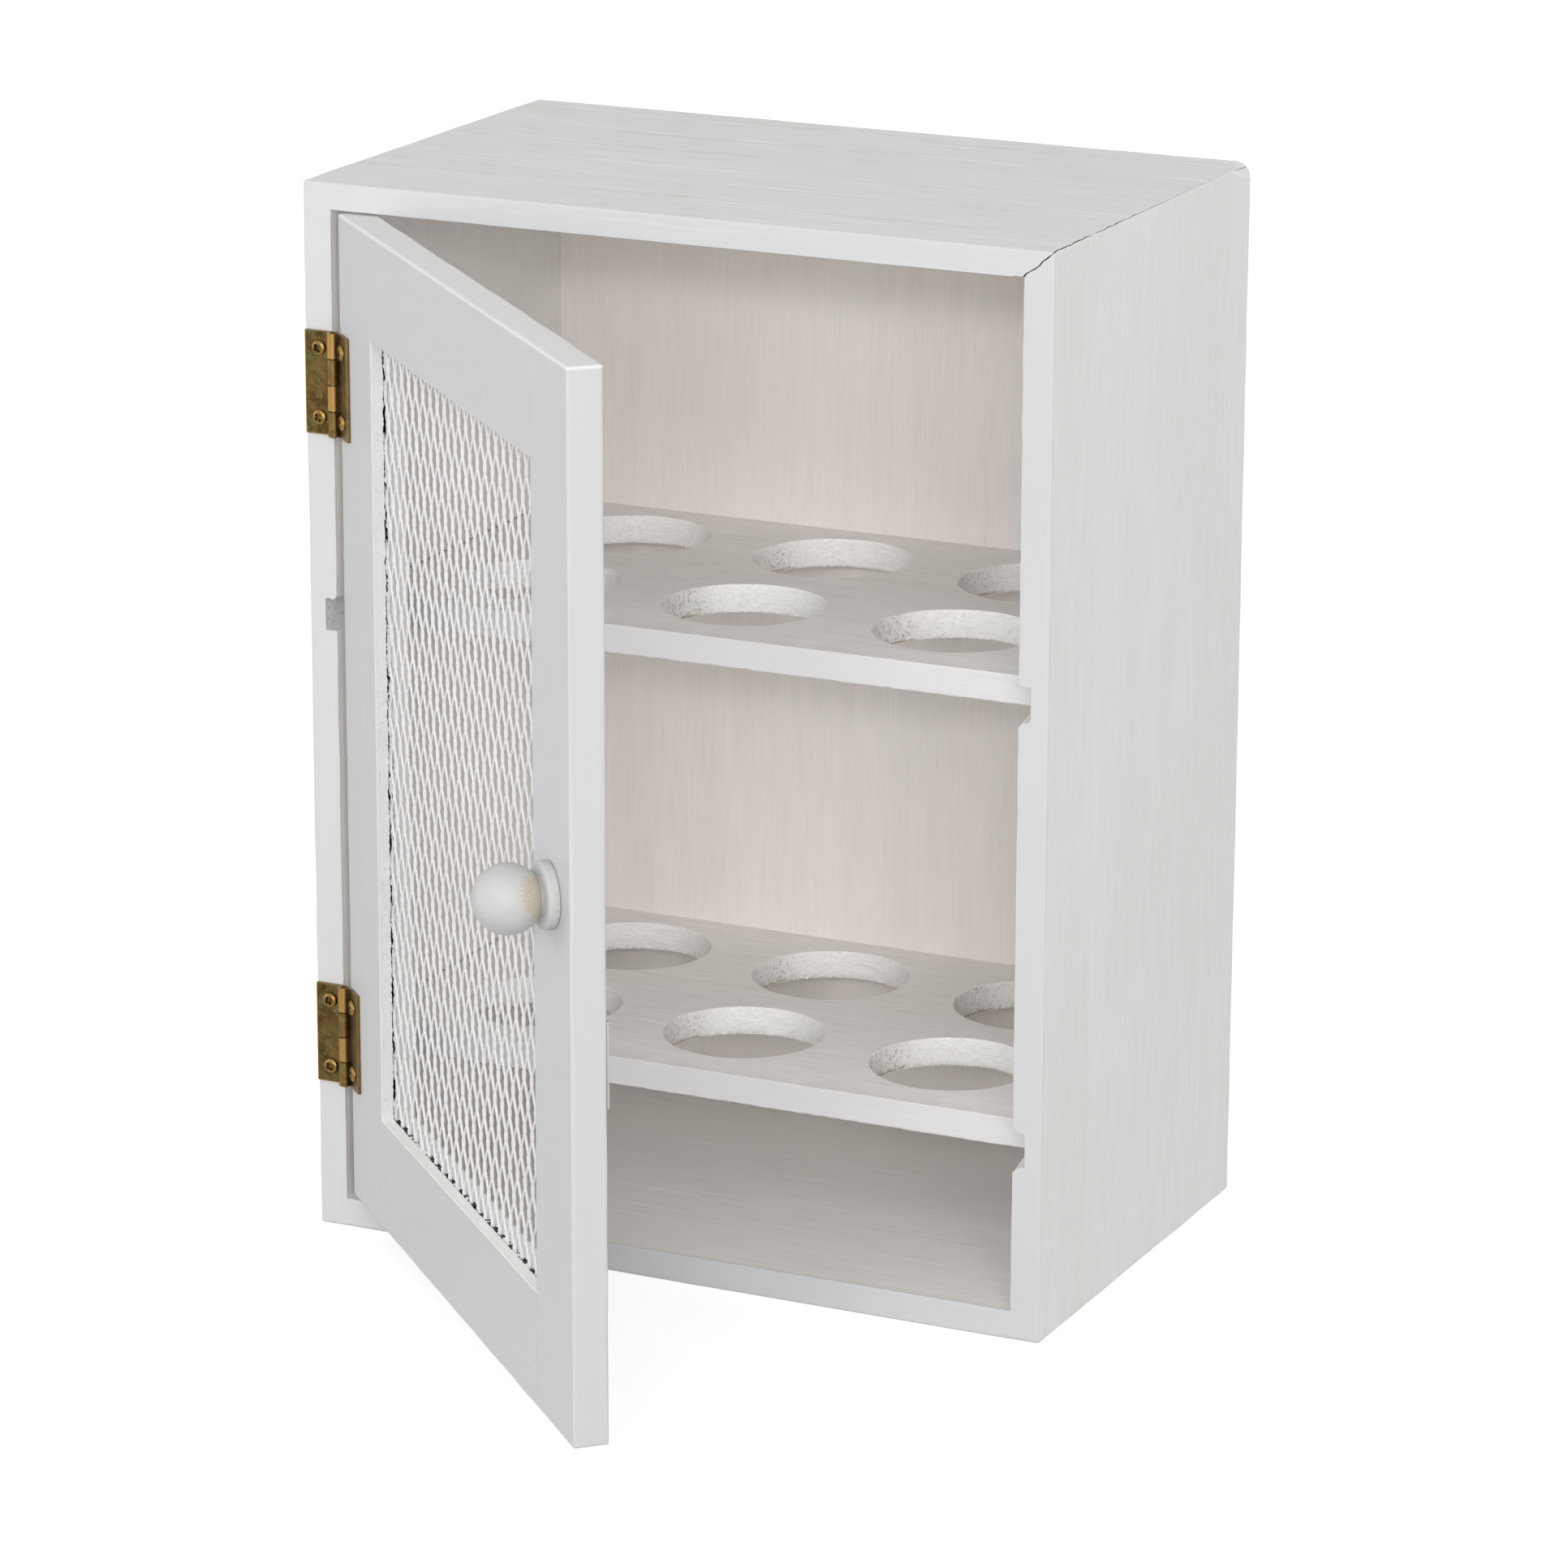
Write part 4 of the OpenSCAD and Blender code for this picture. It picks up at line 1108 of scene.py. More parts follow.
def door_member(name, x_span, z_span, board, material):
    """A stile or rail of the door, with the kerf that holds the mesh along its window side"""
    upright = z_span[1] - z_span[0] > x_span[1] - x_span[0]
    window = [w for w in WINDOW_X if w in x_span] if upright else [w for w in WINDOW_Z if w in z_span]
    rim = window[0]
    span, wide = (z_span, x_span) if upright else (x_span, z_span)
    run = (WINDOW_Z[0] - KERF_D, WINDOW_Z[1] + KERF_D) if upright else x_span
    inward = 1 if rim in (WINDOW_X[0], WINDOW_Z[0]) else -1
    # The kerf's lips are jagged, so lines across it are 0.5 mm apart
    fine_lines = [run[0] + 0.5 * i for i in range(int((run[1] - run[0]) / 0.5) + 1)]
    kerf_steps = [KERF_FRONT + (KERF_BACK - KERF_FRONT) * share for share in (0, 0.3, 0.7, 1)]
    points, faces = lattice(
        lines(span[0], span[1], 5, *fine_lines, *steps(*run)),
        lines(wide[0], wide[1], 3, rim - inward * KERF_D),
        lines(0, DOOR_T, 1, *steps(*kerf_steps), 2.6, 4.95))
    # Painted shade darkens the kerf at its mouth: only in front on the stiles, where the mesh hides the rest
    dark_to = KERF_FRONT + 0.3 * (KERF_BACK - KERF_FRONT) if upright else KERF_BACK
    thick, seam = [], []

    def shape(length, width, y):
        bare, torn = 0.0, 0.0
        on_reveal = run[0] < length < run[1] and (rim - width) * inward < STEP
        # A painted highlight whitens the reveals and the door's top edge
        on_top = ease(DOOR_H - 0.9, DOOR_H - 0.3, length if upright else width)
        thick.append((0.35 if upright else 0.95) if on_reveal else 0.55 * on_top)
        fine = rough_value((length, 0, 0), 1.1, rim + 4)
        in_kerf = on_reveal and KERF_FRONT - 2 * STEP < y < dark_to + 2 * STEP
        seam.append(1.0 if in_kerf and fine < 0.45 else 0.0)
        if on_reveal:
            width, y, torn = reveal(length, width, y, rim, inward, upright, fine)
        small = board.inner_easing / MM * (1 + 0.6 * rough_value((length, 0, y), 4, rim + 1))
        for face_gap, face in ((y, 0), (DOOR_T - y, 1)):
            gap = (rim - width) * inward
            if gap < small and face_gap < small:
                bare = max(bare, 0.35)
                eased = on_round(gap, face_gap, small)
                if eased:
                    width = rim - inward * eased[0]
                    y = eased[1] if face == 0 else DOOR_T - eased[1]
        point = (width, y, length) if upright else (length, y, width)
        radius = board.easing / MM * (1 + 0.35 * rough_value(point, 14, 8))
        depth = dip_at(point, board.waviness / MM)
        point = rounded(point, (0, 0, 0), (DOOR_W, DOOR_T, DOOR_H), radius, depth)
        return (*hang(point), bare, torn, 0.0)

    placed, marks = shaped(points, shape)
    marks["thick"], marks["seam"] = thick, seam
    mesh = make_mesh(name, placed, faces, marks)
    return show(name + "_piece", mesh, material, "door", "door_paint", name)


class CUPBOARD_OT_door_frame(bpy.types.Operator):
    """Builds the stiles and rails of the door"""
    bl_idname = "cupboard.door_frame"
    bl_label = "Door frame"

    def execute(self, context):
        settings = context.scene.egg_cupboard
        board, finish = settings.board, settings.finish
        stiles = finish_of(painted_wood, "satin paint on stiles", finish.door, "Z", finish,
                           turned=True, streaks=0.06, fibres=0.07, specks=0.0)
        rails = finish_of(painted_wood, "satin paint on rails", finish.door, "X", finish,
                          turned=True, streaks=0.08, fibres=0.09, specks=0.0)
        door_member("hinge_stile", (0, WINDOW_X[0]), (0, DOOR_H), board, stiles)
        door_member("free_stile", (WINDOW_X[1], DOOR_W), (0, DOOR_H), board, stiles)
        door_member("door_top_rail", WINDOW_X, (WINDOW_Z[1], DOOR_H), board, rails)
        door_member("door_bottom_rail", WINDOW_X, (0, WINDOW_Z[0]), board, rails)
        keep("door_dowels", finish_of(turned_beech, "unpainted beech", finish))
        return {"FINISHED"}


# Groups of Geometry Nodes

def start_nodes(name, sockets):
    """A node group that takes and gives geometry, with the named inputs"""
    tree = bpy.data.node_groups.new(name, "GeometryNodeTree")
    face = tree.interface
    face.new_socket("Geometry", in_out="INPUT", socket_type="NodeSocketGeometry")
    for title, kind in sockets:
        face.new_socket(title, in_out="INPUT", socket_type="NodeSocket" + kind)
    face.new_socket("Geometry", in_out="OUTPUT", socket_type="NodeSocketGeometry")
    return tree, tree.nodes.new("NodeGroupInput").outputs, partial(add, tree)


def end_nodes(tree, instances, given):
    """Makes instances real and gives them the material, as the last steps of a group"""
    real = add(tree, "GeometryNodeRealizeInstances", {"Geometry": instances})
    done = add(tree, "GeometryNodeSetMaterial", {"Geometry": real, "Material": given["Material"]})
    add(tree, "NodeGroupOutput", {"Geometry": done})


def grown(name, tree, points, values):
    """The plain mesh that a node group makes from some points, with its inputs set by identifier"""
    mesh = bpy.data.meshes.new(name)
    mesh.from_pydata([Vector(point) * MM for point in points], [], [])
    host = bpy.data.objects.new(name, mesh)
    bpy.context.scene.collection.objects.link(host)
    modifier = host.modifiers.new("Build", "NODES")
    modifier.node_group = tree
    for item in tree.interface.items_tree:
        if item.in_out == "INPUT" and item.name in values:
            modifier[item.identifier] = values[item.name]
    bpy.context.view_layer.update()
    seen = host.evaluated_get(bpy.context.evaluated_depsgraph_get())
    made = bpy.data.meshes.new_from_object(seen)
    host.modifiers.clear()
    bpy.data.objects.remove(host)
    made.name = name
    if not made.vertices:
        raise RuntimeError(f"the node group gave no mesh for {name}")
    return made


def fastener_nodes():
    """Sets one fastener on every point, facing one way, each turned by chance within a spread"""
    name = "Fasteners"
    if name in bpy.data.node_groups:
        return bpy.data.node_groups[name]
    tree, given, node = start_nodes(name, [
        ("Fastener", "Object"), ("Facing", "Vector"), ("Turn", "Float"), ("Spread", "Float"),
        ("Size", "Float"), ("Seed", "Int"), ("Material", "Material")])
    shape = node("GeometryNodeObjectInfo", {"Object": given["Fastener"]}, "Geometry")
    facing = node("FunctionNodeAlignRotationToVector", {"Vector": given["Facing"]}, axis="Z")
    chance = node("FunctionNodeRandomValue", {
        2: 0.0, 3: given["Spread"], 8: given["Seed"]}, 1, data_type="FLOAT")
    angle = node("ShaderNodeMath", {0: chance, 1: given["Turn"]}, operation="ADD")
    spin = node("FunctionNodeAxisAngleToRotation", {"Axis": (0, 0, 1), "Angle": angle})
    both = node("FunctionNodeRotateRotation", {"Rotation": facing, "Rotate By": spin}, rotation_space="LOCAL")
    placed = node("GeometryNodeInstanceOnPoints", {
        "Points": given["Geometry"], "Instance": shape, "Rotation": both, "Scale": given["Size"]})
    end_nodes(tree, placed, given)
    return tree


def set_of(name, mesh, places, facing, turn, size, material, body, slot, *nodes, spread=0.0, seed=1):
    """A piece made of equal fasteners at some places, scaled by size and turned by turn, in radians, and by
    chance up to spread more"""
    model = bpy.data.objects.new(mesh.name, mesh)
    made = grown(name, fastener_nodes(), places, {
        "Fastener": model, "Facing": facing, "Turn": float(turn), "Spread": float(spread),
        "Size": float(size), "Seed": seed, "Material": material})
    bpy.data.objects.remove(model)
    made.set_sharp_from_angle(angle=radians(32))
    return show(name, made, material, body, slot, *nodes)


# Expanded metal

def net_nodes():
    """Lays one tile of expanded metal at every bond, with every second row half a bond aside"""
    tree, given, node = start_nodes("Expanded metal", [
        ("Tile", "Object"), ("Columns", "Int"), ("Rows", "Int"), ("Pitch across", "Float"),
        ("Pitch along", "Float"), ("Material", "Material")])
    total = node("ShaderNodeMath", {0: given["Columns"], 1: given["Rows"]}, operation="MULTIPLY")
    start = node("GeometryNodeMeshLine", {"Count": total})
    number = node("GeometryNodeInputIndex")
    share = node("ShaderNodeMath", {0: number, 1: given["Columns"]}, operation="DIVIDE")
    row = node("ShaderNodeMath", {0: share}, operation="FLOOR")
    column = node("ShaderNodeMath", {0: number, 1: given["Columns"]}, operation="MODULO")
    odd = node("ShaderNodeMath", {0: row, 1: 2.0}, operation="MODULO")
    aside = node("ShaderNodeMath", {0: odd, 1: 0.5, 2: column}, operation="MULTIPLY_ADD")
    across = node("ShaderNodeMath", {0: aside, 1: given["Pitch across"]}, operation="MULTIPLY")
    height = node("ShaderNodeMath", {0: row, 1: given["Pitch along"]}, operation="MULTIPLY")
    place = node("ShaderNodeCombineXYZ", {"X": across, "Z": height})
    moved = node("GeometryNodeSetPosition", {"Geometry": start, "Position": place})
    # The last bond of a shifted row would lie outside the sheet
    after = node("ShaderNodeMath", {0: aside, 1: 1.1}, operation="ADD")
    outside = node("ShaderNodeMath", {0: after, 1: given["Columns"]}, operation="GREATER_THAN")
    spare = node("ShaderNodeMath", {0: odd, 1: outside}, operation="MULTIPLY")
    kept = node("GeometryNodeDeleteGeometry", {"Geometry": moved, "Selection": spare})
    shape = node("GeometryNodeObjectInfo", {"Object": given["Tile"]}, "Geometry")
    placed = node("GeometryNodeInstanceOnPoints", {"Points": kept, "Instance": shape})
    end_nodes(tree, placed, given)
    return tree


def net_tile(net, pitch_x, pitch_z):
    """One bond and the half strands that leave it, in millimetres, turned out of the sheet"""
    wide, thick, half_bond = net.strand / MM, net.sheet / MM, net.bond / MM / 2
    lean_x, lean_y = cos(net.tilt), sin(net.tilt)
    points, faces = [], []

    def ribbon(path):
        """A flat strip along centres across, out and up, each with half its width and its thickness"""
        start = len(points)
        for x, y, z, half, deep in path:
            for side, face in ((-1, -1), (1, -1), (1, 1), (-1, 1)):
                rim, out = side * half, face * deep / 2
                points.append((x + rim * lean_x - out * lean_y, y + rim * lean_y + out * lean_x, z))
        for i in range(len(path) - 1):
            here, after = start + 4 * i, start + 4 * (i + 1)
            for k in range(4):
                faces.append((here + k, here + (k + 1) % 4, after + (k + 1) % 4, after + k))
        faces.append(tuple(start + k for k in range(4)))
        faces.append(tuple(start + 4 * (len(path) - 1) + k for k in (3, 2, 1, 0)))

    ribbon([(0, 0, half_bond * z, wide * half, thick) for z, half in (
        (-1, 0.36), (-0.86, 0.6), (-0.5, 0.93), (0, 1.06), (0.5, 0.93), (0.86, 0.6), (1, 0.36))])
    for side in (-1, 1):
        # Each strand starts inside its bond, at a depth of its own, so that no two faces lie in one plane
        lift, depth = side * wide * 0.36, 0.86 + 0.04 * side
        for end in (-1, 1):
            ribbon([
                (lift * 0.6 * lean_x, lift * 0.6 * lean_y, end * half_bond * 0.45, wide * 0.3, thick * 0.5),
                (lift * lean_x, lift * lean_y, end * half_bond * 0.85, wide * 0.5, thick * depth),
                (lift * 1.5 * lean_x, lift * 1.2 * lean_y, end * half_bond * 1.08, wide * 0.6, thick * 0.95),
                (side * pitch_x / 4, 0, end * pitch_z / 2, wide * 0.64, thick)])
    return make_mesh("net_tile", points, faces, sharp=50)


class CUPBOARD_OT_net(bpy.types.Operator):
    """Builds the expanded metal in the door"""
    bl_idname = "cupboard.net"
    bl_label = "Expanded metal"

    def execute(self, context):
        settings = context.scene.egg_cupboard
        net, finish = settings.net, settings.finish
        pitch_x = (WINDOW_X[1] - WINDOW_X[0]) / net.across
        pitch_z = (WINDOW_Z[1] - WINDOW_Z[0]) / net.along
        model = bpy.data.objects.new("net_tile", net_tile(net, pitch_x, pitch_z))
        paint = finish_of(sprayed_steel, "sprayed enamel on expanded steel", finish)
        made = grown("door_mesh", net_nodes(), [(0, 0, 0)], {
            "Tile": model, "Columns": net.across + 1, "Rows": net.along + 1,
            "Pitch across": pitch_x * MM, "Pitch along": pitch_z * MM, "Material": paint})
        bpy.data.objects.remove(model)
        middle = (KERF_FRONT + KERF_BACK) / 2
        for vertex in made.vertices:
            x, y, z = vertex.co / MM
            # The sheet isn't quite flat or even
            x += 0.06 * rough_value((x, 0, z), 8, 1)
            z += 0.08 * rough_value((x, 0, z), 9, 2)
            y += middle + 0.05 * rough_value((x, 0, z), 25, 3)
            vertex.co = Vector(hang((x + WINDOW_X[0], y, z + WINDOW_Z[0]))) * MM
        made.set_sharp_from_angle(angle=radians(50))
        show("door_mesh_piece", made, paint, "door", "mesh_paint", "door_mesh")
        return {"FINISHED"}


# Knob

class CUPBOARD_OT_knob(bpy.types.Operator):
    """Turns the knob, with bare wood showing by its neck, and sets its screw from behind"""
    bl_idname = "cupboard.knob"
    bl_label = "Knob"

    def execute(self, context):
        settings = context.scene.egg_cupboard
        knob, finish, board = settings.knob, settings.finish, settings.board
        ball, reach, flange = knob.ball / MM / 2, knob.reach / MM, knob.flange / MM / 2
        # Radius and distance from the door: the flange, the hollow of the neck, and then the ball
        outline = [(0, 0), (flange - 0.5, 0), (flange - 0.15, 0.06), (flange - 0.03, 0.25), (flange, 0.7),
                   (flange, 1.6), (flange - 0.03, 2.1), (flange - 0.18, 2.45), (flange - 0.5, 2.72),
                   (flange - 1.1, 2.9), (flange - 2.1, 3.02), (flange - 2.8, 3.1), (4.62, 3.2), (4.55, 3.35)]
        start = acos((reach - 3.5) / ball)
        turns = 30
        for i in range(turns + 1):
            angle = start + (pi - start) * i / turns
            outline.append((ball * sin(angle) if i < turns else 0.0, reach - ball * cos(angle)))
        points, bare, torn = [], [], []
        count = 96
        for i in range(count):
            angle = 2 * pi * i / count
            for radius, height in outline:
                spot = (radius * cos(angle), height, radius * sin(angle))
                uneven = 1 - 0.006 * (1 + rough_value(spot, 5, 2))
                x, z = spot[0] * uneven, spot[2] * uneven
                points.append(hang((KNOB_X + x, -height * (1 if height < 3.4 else uneven), KNOB_Z + z)))
                # The paint is worn on the ball beside the neck, towards the door's free edge
                side = 0.8 * cos(angle) * radius / ball + 0.25 * sin(angle) * radius / ball
                neck = (reach - height) / ball
                worn = min(0.75, max(0.0, 2 * (side + 0.9 * neck - 0.66)))
                bare.append(worn if 3.2 < height < reach + 2 else 0)
                torn.append(0.35 if height < 1.6 else 0.0)
        faces = turned_faces(count, len(outline))
        mesh = make_mesh("knob", points, faces, {"bare": bare, "torn": torn}, sharp=60)
        paint = finish_of(painted_wood, "satin paint on turned wood", finish.knob, "X", finish,
                          turned=True, streaks=0.1, fibres=0.12, specks=0.0)
        show("knob_piece", mesh, paint, "door", "door_paint", "knob")
        steel = finish_of(plated_steel, "zinc-plated steel", finish)
        set_of("knob_screw_piece", screw_mesh(settings.hinge), [hang((KNOB_X, DOOR_T, KNOB_Z))],
               turned_way(0, 1, 0), 0.3, 1.57, steel, "door", "steel", "knob_screw")
        return {"FINISHED"}


# Screws and hinges

def turned_way(x, y, z):
    """A direction of the closed door, as it is on the open door"""
    return Vector(hang((x, y, z))) - Vector(hang((0, 0, 0)))


def cut(mesh, tool):
    """One mesh with another taken out of it"""
    scene = bpy.context.scene.collection.objects
    solid = bpy.data.objects.new("solid", mesh)
    cutter = bpy.data.objects.new("cutter", tool)
    scene.link(solid)
    scene.link(cutter)
    modifier = solid.modifiers.new("Cut", "BOOLEAN")
    modifier.object = cutter
    modifier.operation = "DIFFERENCE"
    modifier.solver = "EXACT"
    bpy.context.view_layer.update()
    seen = solid.evaluated_get(bpy.context.evaluated_depsgraph_get())
    made = bpy.data.meshes.new_from_object(seen)
    solid.modifiers.clear()
    bpy.data.objects.remove(solid)
    bpy.data.objects.remove(cutter)
    made.name = mesh.name
    return made


def screw_mesh(hinge):
    """A cross-head wood screw, its head's underside at the origin and its point along -Z"""
    if "cross_screw" in bpy.data.meshes:
        return bpy.data.meshes["cross_screw"]
    radius, half = hinge.head / MM / 2, hinge.slot / MM / 2
    dome = ((0, 0.9), (0.3, 0.88), (0.56, 0.8), (0.78, 0.66), (0.92, 0.46), (0.99, 0.26), (1, 0.1), (0.97, 0))
    outline = [(radius * share, height) for share, height in dome]
    outline += [(0.95, 0), (0.95, -5), (0.2, -7), (0, -7)]
    mesh = spun("screw_blank", outline, 36)
    reach = radius * 0.56
    for turn in (0, pi / 2):
        points = []
        for height, share in ((0.28, 0.72), (1.2, 1.15)):
            for side_x, side_y in ((-1, -1), (1, -1), (1, 1), (-1, 1)):
                x, y = side_x * reach * share, side_y * half * share
                points.append((x * cos(turn) - y * sin(turn), x * sin(turn) + y * cos(turn), height))
        box = [(0, 1, 2, 3), (4, 5, 6, 7), (0, 1, 5, 4), (1, 2, 6, 5), (2, 3, 7, 6), (3, 0, 4, 7)]
        mesh = cut(mesh, make_mesh("cross", points, box))
    mesh.name = "cross_screw"

    def rub(point):
        """The rim of the head is rubbed bright, and the recess stays dark"""
        out = hypot(point.x, point.y) / radius
        top = 0.9 - 0.8 * max(0.0, out - 0.3) ** 2
        return 0.0 if point.z < top - 0.12 and out < 0.7 else (0.5 if out > 0.74 else 0.12)

    mark(mesh, "rub", rub)
    mesh.shade_smooth()
    mesh.set_sharp_from_angle(angle=radians(32))
    return mesh


# Knuckles on a hinge, and the gap between two of them
KNUCKLES, KNUCKLE_GAP = 4, 0.3
# Where a leaf stops short of the pin outside its own knuckles, and how far the knuckles clear the wood
HINGE_STOP, KNUCKLE_CLEAR = 1.7, 0.35
# Distance of the screws from the pin, and from each other
SCREW_OUT, SCREW_GAP = 4.3, 16.8


def leaf_section(hinge):
    """The section of a leaf and its roll, as pairs of points on both sides of the sheet, from the outer edge
    to the pin, measured outwards from the pin and out from the wood"""
    sheet, outer, leaf = hinge.sheet / MM, hinge.knuckle / MM / 2, hinge.leaf / MM
    roll = outer - hinge.pin / MM / 2 - 0.05
    # Middle of the sheet and the way across it in degrees, along the flat and into the roll
    path = [(leaf, sheet / 2, 90.0), (leaf - 0.08, sheet / 2, 90.0), (leaf - 0.3, sheet / 2, 90.0),
            (leaf * 0.6, sheet / 2, 90.0), (HINGE_STOP + 0.5, sheet / 2, 90.0),
            (HINGE_STOP, sheet / 2 + 0.02, 90.0), (1.1, sheet / 2 + 0.1, 100.0), (0.5, 0.62, 98.0)]
    pairs = []
    for u, v, lean in path:
        half = sheet / 2 if u > 1.2 else roll / 2 + (sheet - roll) / 2 * max(0.0, (u - 0.5) / 0.7)
        step_u, step_v = cos(radians(lean)) * half, sin(radians(lean)) * half
        pairs.append(((u - step_u, v - step_v), (u + step_u, v + step_v)))
    centre = KNUCKLE_CLEAR + outer
    near, far = outer, outer - roll
    turns = 22
    for i in range(turns + 1):
        angle = radians(-97 - (360 - 97 + 25 + 40) * i / turns)
        pairs.append((
            (near * cos(angle), centre + near * sin(angle)), (far * cos(angle), centre + far * sin(angle))))
    return pairs


def leaf_points(hinge, middle, length, first, shine):
    """A leaf with two rolled knuckles, counted from the top, measured outwards from the pin, out from the
    wood, and up; shine says how far the knuckles are rubbed"""
    pairs, leaf = leaf_section(hinge), hinge.leaf / MM
    knuckle = (length - (KNUCKLES - 1) * KNUCKLE_GAP) / KNUCKLES
    top = middle + length / 2
    spans = [(top - k * (knuckle + KNUCKLE_GAP) - knuckle, top - k * (knuckle + KNUCKLE_GAP))
             for k in (first, first + 2)]
    heights = {middle - length / 2, middle + length / 2}
    for low, high in spans:
        heights.update((low, high))
        heights.update(value for value in (low - STEP, high + STEP) if abs(value - middle) < length / 2)
        heights.update((low + STEP, high - STEP))
    heights.update(middle + side * (length / 2 - inset) for side in (-1, 1) for inset in (0.08, 0.3))
    heights = sorted(heights)
    # Between its knuckles the leaf ends at this pair of its section
    stop = 5
    points, faces, rub = [], [], []
    for z in heights:
        rolled = any(low <= z <= high for low, high in spans)
        row = pairs if rolled else pairs[:stop + 1] + [pairs[stop]] * (len(pairs) - stop - 1)
        loop = [pair[0] for pair in row] + [pair[1] for pair in reversed(row)]
        points += [(u, v, z) for u, v in loop]
        worn = 0.4 * ease(0.3, 0.08, length / 2 - abs(z - middle))
        for u, v in loop:
            rub.append(shine if u < HINGE_STOP - 0.1 else max(worn, 0.4 * ease(leaf - 0.3, leaf - 0.08, u)))
    size = 2 * len(pairs)
    for i in range(len(heights) - 1):
        for k in range(size):
            after = (k + 1) % size
            faces.append((i * size + k, i * size + after, (i + 1) * size + after, (i + 1) * size + k))
    for base in (0, (len(heights) - 1) * size):
        for k in range(len(pairs) - 1):
            faces.append((base + k, base + k + 1, base + size - 2 - k, base + size - 1 - k))
    return points, faces, {"rub": rub}


class CUPBOARD_OT_hinges(bpy.types.Operator):
    """Builds the leaves, pins and screws of both hinges"""
    bl_idname = "cupboard.hinges"
    bl_label = "Hinges"

    def execute(self, context):
        settings = context.scene.egg_cupboard
        hinge, finish = settings.hinge, settings.finish
        fixed = finish_of(antiqued_brass, "antiqued brass", finish)
        moving = finish_of(antiqued_brass, "antiqued brass on the door", finish, True)
        sheet = hinge.sheet / MM
        frame_places, door_places = [], []
        for name in ("upper", "lower"):
            low, high = limits(name + "_frame_leaf")
            middle, length = (low[2] + high[2]) / 2, high[2] - low[2]
            points, faces, rub = leaf_points(hinge, middle, length, first=0, shine=0.75)
            placed = [(PIN_X - u, FRONT - v, z) for u, v, z in points]
            mesh = make_mesh(name + "_frame_leaf", placed, faces, rub, bevel=0.07)
            show(name + "_frame_leaf_piece", mesh, fixed, "cabinet", "hinge_brass", name + "_frame_leaf")
            points, faces, rub = leaf_points(hinge, middle, length, first=1, shine=0.2)
            placed = [hang((PIN_X + u - DOOR_X, -v, z - DOOR_Z)) for u, v, z in points]
            mesh = make_mesh(name + "_door_leaf", placed, faces, rub, bevel=0.07)
            show(name + "_door_leaf_piece", mesh, moving, "door", "hinge_brass", name + "_door_leaf")
            for end in (-1, 1):
                z = middle + end * SCREW_GAP / 2
                frame_places.append((PIN_X - SCREW_OUT, FRONT - sheet, z))
                door_places.append(hang((PIN_X + SCREW_OUT - DOOR_X, -sheet, z - DOOR_Z)))
            low, high = limits(name + "_hinge_pin")
            radius, tall, chamfer = hinge.pin / MM / 2, high[2] - low[2], 0.15
            rod = [(0, 0), (radius - chamfer, 0), (radius, chamfer), (radius, tall - chamfer),
                   (radius - chamfer, tall), (0, tall)]
            mesh = spun(name + "_hinge_pin", rod, 24)
            mark(mesh, "rub", lambda point: 0.3)
            mesh.transform(Matrix.Translation(Vector((PIN_X, PIN_Y, low[2])) * MM))
            show(name + "_hinge_pin_piece", mesh, fixed, "cabinet", "hinge_brass", name + "_hinge_pin")
        set_of("frame_leaf_screws_piece", screw_mesh(hinge), frame_places, (0, -1, 0), 0.3, 1, fixed,
               "cabinet", "hinge_brass", "frame_leaf_screws", spread=0.4, seed=3)
        set_of("door_leaf_screws_piece", screw_mesh(hinge), door_places, turned_way(0, -1, 0), 1.0, 1,
               moving, "door", "hinge_brass", "door_leaf_screws", spread=0.8, seed=5)
        return {"FINISHED"}


# Catch

def refined(node, bevel):
    """A copy of a frame node's mesh, merged, with its edges eased"""
    mesh = frame["nodes"][node].data.copy()
    mesh.name = node + "_eased"
    form = bmesh.new()
    form.from_mesh(mesh)
    bmesh.ops.remove_doubles(form, verts=form.verts, dist=MERGE * MM)
    bmesh.ops.dissolve_limit(form, angle_limit=radians(2), verts=form.verts, edges=form.edges)
    edges = [e for e in form.edges if len(e.link_faces) == 2 and e.calc_face_angle() > radians(50)]
    bmesh.ops.bevel(form, geom=edges, offset=bevel * MM, segments=3, profile=0.6, affect="EDGES",
                    clamp_overlap=True)
    form.to_mesh(mesh)
    form.free()
    mesh.shade_smooth()
    mesh.set_sharp_from_angle(angle=radians(40))
    return mesh


